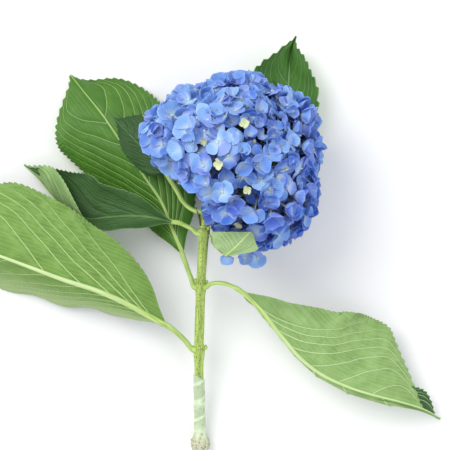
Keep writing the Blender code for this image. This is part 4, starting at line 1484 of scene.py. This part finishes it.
def floret_seats():
    """The seats of all the florets."""
    rng = np.random.default_rng(SEAT_SEED)
    seats = list(seats_by_hand(rng))
    placed = np.array([seat.place for seat in seats])
    return [*seats, *seats_to_fill(rng, placed), *seats_on_rim(rng, placed), *seats_inside(rng)]


def sepal(rng, rise, tip_rise, roll, broad):
    """(points, faces, values, rim) of one sepal: a thin closed leaf along +X from the claw."""
    length = FLORET_RADIUS * 0.94 * rng.uniform(*SEPAL_LENGTHS)
    widest = length * 0.5 * broad * rng.uniform(*SEPAL_BREADTHS)
    # Rows stand closer towards the tip, where the outline turns.
    at = np.sin(np.linspace(0, math.pi / 2, SEPAL_ROWS + 1))
    lift = np.radians(rise + (tip_rise - rise) * at + rng.uniform(-RISE_STRAY, RISE_STRAY))
    mean = (lift[1:] + lift[:-1]) / 2
    run = (np.r_[0, np.cumsum(np.diff(at) * length * np.cos(mean))] + SEPAL_START)[:, None]
    high = np.r_[0, np.cumsum(np.diff(at) * length * np.sin(mean))][:, None]
    at, lift = at[:, None], lift[:, None]
    sides = np.linspace(-1, 1, SEPAL_COLUMNS + 1)
    spread = widest * smooth(*zip(*SEPAL_SHAPE), at[:, 0]) * sides
    bulge = -0.05 * length * sides**2 * at**2
    over = roll * spread**2 / widest + rng.uniform(-SEPAL_TWIST, SEPAL_TWIST) * spread
    over += 0.5 * np.sin(sides * 3.1 + at * 5 + rng.uniform(0, 6)) * np.abs(sides) * at
    over += -0.35 * mound(sides, 0, 0.3) * np.sin(math.pi * at)
    x = run + bulge * np.cos(lift) - over * np.sin(lift)
    z = high + bulge * np.sin(lift) + over * np.cos(lift)
    top = np.stack((x, spread, z), -1)
    low = top - units(np.cross(np.gradient(top, axis=0), np.gradient(top, axis=1))) * SEPAL_THICKNESS
    index = np.arange(x.size).reshape(x.shape)
    inner = index[1:-1, 1:-1]
    under = index.copy()
    under[1:-1, 1:-1] = index.size + np.arange(inner.size).reshape(inner.shape)
    place = np.stack(np.broadcast_arrays(sides, at, rng.uniform(0, 1)), -1)
    points, values = (
        np.vstack((face.reshape(-1, 3), back[1:-1, 1:-1].reshape(-1, 3)))
        for face, back in ((top, low), (place, place))
    )
    return points, np.vstack((flipped(cells(index)), cells(under))).tolist(), values, outline(index)


def floret_pattern(name, kind, rng, home):
    """One floret facing +Z with its eye at the origin, to be set on every seat of its kind."""
    rise, tip_rise, roll, broad, young = KINDS[kind]
    body = Body()
    rims = set()
    for number in range(4):
        # Two sepals stand over the other two, and lie flatter.
        over = number % 2
        points, faces, values, rim = sepal(rng, rise + PAIR_RISE * (1 - over), tip_rise, roll, broad)
        turn = math.radians(90 * number + rng.uniform(-TURN_STRAY, TURN_STRAY))
        spin = ((math.cos(turn), math.sin(turn), 0), (-math.sin(turn), math.cos(turn), 0), (0, 0, 1))
        youth = np.full(len(points), young)
        placed = points @ np.array(spin) + (0, 0, PAIR_OVER * over)
        body.add(placed, faces, petal=values, young=youth)
        rim = rim + number * len(points)
        rims |= {tuple(sorted(pair)) for pair in zip(rim.tolist(), np.roll(rim, -1).tolist())}
    # The eye: a small bead of closed stamens and style.
    at = np.linspace(0.08, 0.97, 5)
    wide = 1.25 * np.sin(math.pi * at) ** 0.7
    points, faces, _ = tube(np.stack((0 * at, 0 * at, -0.2 + 2.3 * at), -1), wide, wide, 8, (1, 0, 0))
    place, youth = np.tile((0.0, 0.04, 0.2), (len(points), 1)), np.full(len(points), 0.35 + 0.5 * young)
    body.add(points, faces, petal=place, young=youth)
    made = body.mesh(name, np.vstack(body.points))
    for edge in made.data.edges:
        edge.use_edge_sharp = tuple(sorted(edge.vertices)) in rims
    bpy.context.scene.collection.objects.unlink(made)
    home.objects.link(made)


def tree_with(name, sockets):
    """(tree, adder of nodes, its input node, the identifier of each input by name)"""
    tree = bpy.data.node_groups.new(name, "GeometryNodeTree")
    tree.interface.new_socket("Geometry", in_out="OUTPUT", socket_type="NodeSocketGeometry")
    names = {}
    for title, kind in (("Geometry", "Geometry"), *sockets):
        made = tree.interface.new_socket(title, in_out="INPUT", socket_type=f"NodeSocket{kind}")
        names[title] = made.identifier
    return tree, partial(node, tree), node(tree, "NodeGroupInput").outputs, names


def finish_tree(add, geometry, material):
    """Gives the tree's geometry its material and ends the tree."""
    painted = add("GeometryNodeSetMaterial", {0: geometry, "Material": material})
    add("NodeGroupOutput", {0: painted})


def applied(source, name, tree, names, inputs):
    """A plain mesh object from the tree run on source, which is removed."""
    modifier = source.modifiers.new("grow", "NODES")
    modifier.node_group = tree
    for title, value in inputs.items():
        modifier[names[title]] = value
    graph = bpy.context.evaluated_depsgraph_get()
    data = bpy.data.meshes.new_from_object(source.evaluated_get(graph))
    data.name = name
    bpy.data.objects.remove(source)
    if not len(data.polygons):
        raise RuntimeError(f"{name}: nothing was made")
    return shown(name, data)


def floret_tree():
    """Sets a floret pattern on every seat, facing and turned as the seat says."""
    numbers = (("Floret size", "Float"), ("Lean", "Float"), ("Seed", "Int"))
    sockets = (("Patterns", "Collection"), *numbers, ("Material", "Material"))
    tree, add, given, names = tree_with("Florets on their seats", sockets)
    read = {}
    for key in ("facing", "spin", "size", "kind", "lean"):
        kind = "FLOAT_VECTOR" if key == "facing" else "FLOAT"
        read[key] = add("GeometryNodeInputNamedAttribute", {"Name": key}, data_type=kind)
    separate = {"Collection": given["Patterns"], "Separate Children": True, "Reset Children": True}
    chance = {0: (-1.0, -1.0, -1.0), 1: (1.0, 1.0, 1.0), "Seed": given["Seed"]}
    chance = add("FunctionNodeRandomValue", chance, data_type="FLOAT_VECTOR")
    most = add("ShaderNodeMath", {0: read["lean"], 1: given["Lean"]}, operation="MULTIPLY")
    push = add("ShaderNodeVectorMath", {0: chance, "Scale": most}, operation="SCALE")
    facing = add("ShaderNodeVectorMath", {0: read["facing"], 1: push}, operation="ADD")
    aligned = add("FunctionNodeAlignRotationToVector", {"Vector": facing}, axis="Z")
    spin = add("FunctionNodeAxisAngleToRotation", {"Axis": (0.0, 0.0, 1.0), "Angle": read["spin"]})
    turned = {"Rotation": aligned, "Rotate By": spin}
    placed = {
        "Points": given["Geometry"],
        "Instance": add("GeometryNodeCollectionInfo", separate),
        "Pick Instance": True,
        "Instance Index": read["kind"],
        "Rotation": add("FunctionNodeRotateRotation", turned, rotation_space="LOCAL"),
        "Scale": add("ShaderNodeMath", {0: read["size"], 1: given["Floret size"]}, operation="MULTIPLY"),
    }
    real = add("GeometryNodeRealizeInstances", {0: add("GeometryNodeInstanceOnPoints", placed)})
    finish_tree(add, real, given["Material"])
    return tree, names


class HYDRANGEA_OT_florets(bpy.types.Operator):
    """Make the florets, one piece for the dome of florets on each branch"""

    bl_idname = "hydrangea.florets"
    bl_label = "Florets"

    def execute(self, context):
        settings = context.scene.hydrangea_florets
        rng = np.random.default_rng(PATTERN_SEED)
        home = bpy.data.collections.new("floret patterns")
        context.scene.collection.children.link(home)
        for kind in KIND_NAMES:
            for number in range(PATTERNS_A_KIND):
                floret_pattern(f"{kind}_{number}", kind, rng, home)
        colours = (settings.deep, settings.light, settings.violet, settings.claw, settings.young)
        tissue = sepal_tissue(colours)
        tree, names = floret_tree()
        seats = floret_seats()
        used = sorted({seat.branch for seat in seats})
        # Each CAD floret goes with the branch whose dome it stands in.
        standing = {branch: [] for branch in used}
        domes = np.array([KNOTS[branch] + KNOT_WAYS[branch] * DOME_CENTRE_OUT for branch in used])
        for name in frame["nodes"]:
            if name.startswith("floret_"):
                middle = np.mean(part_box(name), axis=0) / MM - CENTRING
                standing[used[nearest(domes, middle)[0]]].append(name)
        pick = np.random.default_rng(PICK_SEED)
        for branch in used:
            mine = [seat for seat in seats if seat.branch == branch]
            firsts = [KIND_NAMES.index(seat.kind) * PATTERNS_A_KIND for seat in mine]
            values = {
                "facing": [seat.facing for seat in mine],
                "size": [seat.size for seat in mine],
                "kind": [float(first + pick.integers(PATTERNS_A_KIND)) for first in firsts],
                "spin": [seat.turn for seat in mine],
                "tint": np.clip([seat.tint for seat in mine], *TINTS),
                "lean": [seat.lean for seat in mine],
            }
            inputs = {
                "Patterns": home,
                "Floret size": settings.size,
                "Lean": settings.lean,
                "Seed": settings.seed + branch,
                "Material": tissue,
            }
            source = dotted("seats", np.array([seat.place for seat in mine]), [], values)
            piece = applied(source, f"florets_{branch + 1:02d}", tree, names, inputs)
            places = np.zeros(len(piece.data.vertices) * 3)
            piece.data.vertices.foreach_get("co", places)
            # Sepals that would pass through the table lie pressed on it instead.
            low = places[2::3] / MM
            pressed = (PRESSED_BELOW - TABLE_CLEAR) * np.exp(np.minimum(low - PRESSED_BELOW, 0) / 4)
            places[2::3] = np.where(low < PRESSED_BELOW, TABLE_CLEAR + pressed, low) * MM
            piece.data.vertices.foreach_set("co", places)
            piece.data.update()
            settle(piece, "petal", *standing[branch])
        for pattern in list(home.objects):
            bpy.data.objects.remove(pattern)
        bpy.data.collections.remove(home)
        bpy.data.node_groups.remove(tree)
        return {"FINISHED"}


def pedicel_tree():
    """Turns polylines into tapering round stalks."""
    sockets = (("Stalk radius", "Float"), ("Material", "Material"))
    tree, add, given, names = tree_with("Stalks along lines", sockets)
    ring = {"Resolution": 6, "Radius": given["Stalk radius"]}
    swept = {
        "Curve": add("GeometryNodeMeshToCurve", {0: given["Geometry"]}),
        "Profile Curve": add("GeometryNodeCurvePrimitiveCircle", ring),
        "Scale": add("GeometryNodeInputNamedAttribute", {"Name": "thick"}, data_type="FLOAT"),
        "Fill Caps": True,
    }
    grown = add("GeometryNodeCurveToMesh", swept)
    even = add("GeometryNodeSetShadeSmooth", {0: grown, "Shade Smooth": True})
    finish_tree(add, add("GeometryNodeRealizeInstances", {0: even}), given["Material"])
    return tree, names


def limb(body, points, start, end, sides=10):
    """Adds a tapering branch with a slight swelling at its end."""
    at = np.linspace(0, 1, LIMB_ROWS)
    line = along(points, at)
    radius = start + (end - start) * at + LIMB_SWELL * mound(at, 1, 0.08)
    points, faces, turns = tube(line, radius, radius, sides, (0.31, 0.17, 0.94))
    body.add(points, faces, skin_mm=skin_place(turns, np.linalg.norm(line - line[0], axis=1)))


class HYDRANGEA_OT_branches(bpy.types.Operator):
    """Make the neck, the branches inside the head and the stalk of every floret"""

    bl_idname = "hydrangea.branches"
    bl_label = "Branches"

    def execute(self, context):
        settings = context.scene.hydrangea_florets
        body = Body()
        neck = (STEM_TOP - STEM_WAY * 2, STEM_TOP + STEM_WAY * 4, FORK + STEM_WAY * 2)
        limb(body, neck, *NECK_RADII, 16)
        for number, knot in enumerate(KNOTS):
            aside = BRANCH_BOW if number % 2 else -BRANCH_BOW
            bow = np.cross(unit(knot - FORK), UP) * aside + UP * 2
            limb(body, (FORK, (FORK + knot) / 2 + bow, knot), *BRANCH_RADII)
        looks = [green_skin("flower branch skin", ("5f7352", "8c9c6c"), 0.25, 1.5)]
        body.piece("branch_skin", looks, "branch", "flower_branches")
        # Pedicels: a line of six points from each branch's knot to each floret's eye.
        rng = np.random.default_rng(PEDICEL_SEED)
        lines = []
        for seat in floret_seats():
            start = KNOTS[seat.branch]
            middle = start * 0.45 + seat.place * 0.55 + rng.normal(0, PEDICEL_BOW, 3)
            lines.append(along((start, middle, seat.place), np.linspace(0, 1, len(PEDICEL_TAPER))))
        index = np.arange(len(lines) * len(PEDICEL_TAPER)).reshape(len(lines), -1)
        edges = np.stack((index[:, :-1], index[:, 1:]), -1).reshape(-1, 2).tolist()
        points = np.vstack(lines)
        points[:, 2] = np.maximum(points[:, 2], TABLE_CLEAR + 1)
        source = dotted("lines", points, edges, {"thick": np.tile(PEDICEL_TAPER, len(lines))})
        tree, names = pedicel_tree()
        skin = green_skin("pedicel skin", ("8a8f86", "a9b795"), 0.0, 1.5)
        inputs = {"Stalk radius": settings.pedicel_radius, "Material": skin}
        settle(applied(source, "pedicels", tree, names, inputs), "branch")
        bpy.data.node_groups.remove(tree)
        return {"FINISHED"}


# ---------------------------------------------------------------- stage


def paper(colour):
    """Matt white paper: even, with a very slight cloudiness."""
    made, shader, add = finish("matt white table")
    place = add("ShaderNodeTexCoord").outputs["Object"]
    grain = add("ShaderNodeTexNoise", {"Vector": place, "Scale": 4.0, "Detail": 2.0})
    tones = {0: grain, 6: (*(0.985 * c for c in colour), 1), 7: (*colour, 1)}
    feed(shader, {"Base Color": add("ShaderNodeMix", tones, data_type="RGBA"), "Roughness": 0.9})
    return made


class HYDRANGEA_OT_stage(bpy.types.Operator):
    """Make the pale floor, the soft lights and the camera"""

    bl_idname = "hydrangea.stage"
    bl_label = "Stage"

    def execute(self, context):
        scene, settings = context.scene, context.scene.hydrangea_stage
        data = bpy.data.meshes.new("floor")
        corners = [(x * FLOOR_HALF, y * FLOOR_HALF, 0) for x, y in ((-1, -1), (1, -1), (1, 1), (-1, 1))]
        data.from_pydata(corners, [], [(0, 1, 2, 3)])
        data.materials.append(paper(settings.floor))
        shown("floor", data)
        for name, place, size, share, colour in LAMPS:
            lamp = bpy.data.lights.new(name, "AREA")
            lamp.shape = "DISK"
            lamp.size = size
            lamp.energy = settings.key * share
            lamp.color = colour
            made = shown(name, lamp)
            made.location = place
            made.rotation_euler = (Vector(LAMPS_FACE) - Vector(place)).to_track_quat("-Z", "Y").to_euler()
        world = bpy.data.worlds.new("soft daylight")
        world.use_nodes = True
        light = {"Color": (0.96, 0.98, 1.0, 1), "Strength": settings.sky}
        feed(world.node_tree.nodes["Background"], light)
        scene.world = world
        camera = bpy.data.cameras.new("camera")
        camera.lens, camera.sensor_width, camera.clip_end = CAMERA_LENS, CAMERA_SENSOR, CAMERA_CLIP
        scene.camera = shown("camera", camera)
        scene.camera.location = CAMERA_PLACE
        scene.view_settings.view_transform = "Standard"
        return {"FINISHED"}


SECTIONS = (
    ("Leaves", "hydrangea_leaves", ("hydrangea.leaves",)),
    ("Stem", "hydrangea_stem", ("hydrangea.stem", "hydrangea.film")),
    ("Head", "hydrangea_florets", ("hydrangea.branches", "hydrangea.florets")),
    ("Stage", "hydrangea_stage", ("hydrangea.stage",)),
)


class HYDRANGEA_PT_panel(bpy.types.Panel):
    """Lists each part's settings and the buttons that make it"""

    bl_idname = "HYDRANGEA_PT_panel"
    bl_label = "Hydrangea"
    bl_space_type = "VIEW_3D"
    bl_region_type = "UI"
    bl_category = "Hydrangea"

    def draw(self, context):
        for title, settings, operators in SECTIONS:
            box = self.layout.box()
            box.label(text=title)
            group = getattr(context.scene, settings)
            for key in group.bl_rna.properties.keys():
                if key not in ("rna_type", "name"):
                    box.prop(group, key)
            for operator in operators:
                box.operator(operator)


GROUPS = {
    "hydrangea_leaves": LeafSettings,
    "hydrangea_stem": StemSettings,
    "hydrangea_florets": FloretSettings,
    "hydrangea_stage": StageSettings,
}
CLASSES = (
    *GROUPS.values(),
    HYDRANGEA_OT_leaves,
    HYDRANGEA_OT_stem,
    HYDRANGEA_OT_film,
    HYDRANGEA_OT_branches,
    HYDRANGEA_OT_florets,
    HYDRANGEA_OT_stage,
    HYDRANGEA_PT_panel,
)


def register():
    for made in CLASSES:
        bpy.utils.register_class(made)
    for key, group in GROUPS.items():
        setattr(bpy.types.Scene, key, PointerProperty(type=group))


def unregister():
    for key in GROUPS:
        delattr(bpy.types.Scene, key)
    for made in reversed(CLASSES):
        bpy.utils.unregister_class(made)


def main():
    register()
    bpy.ops.hydrangea.stage()
    bpy.ops.hydrangea.stem()
    bpy.ops.hydrangea.film()
    bpy.ops.hydrangea.leaves()
    bpy.ops.hydrangea.branches()
    bpy.ops.hydrangea.florets()


if __name__ == "__main__":
    main()
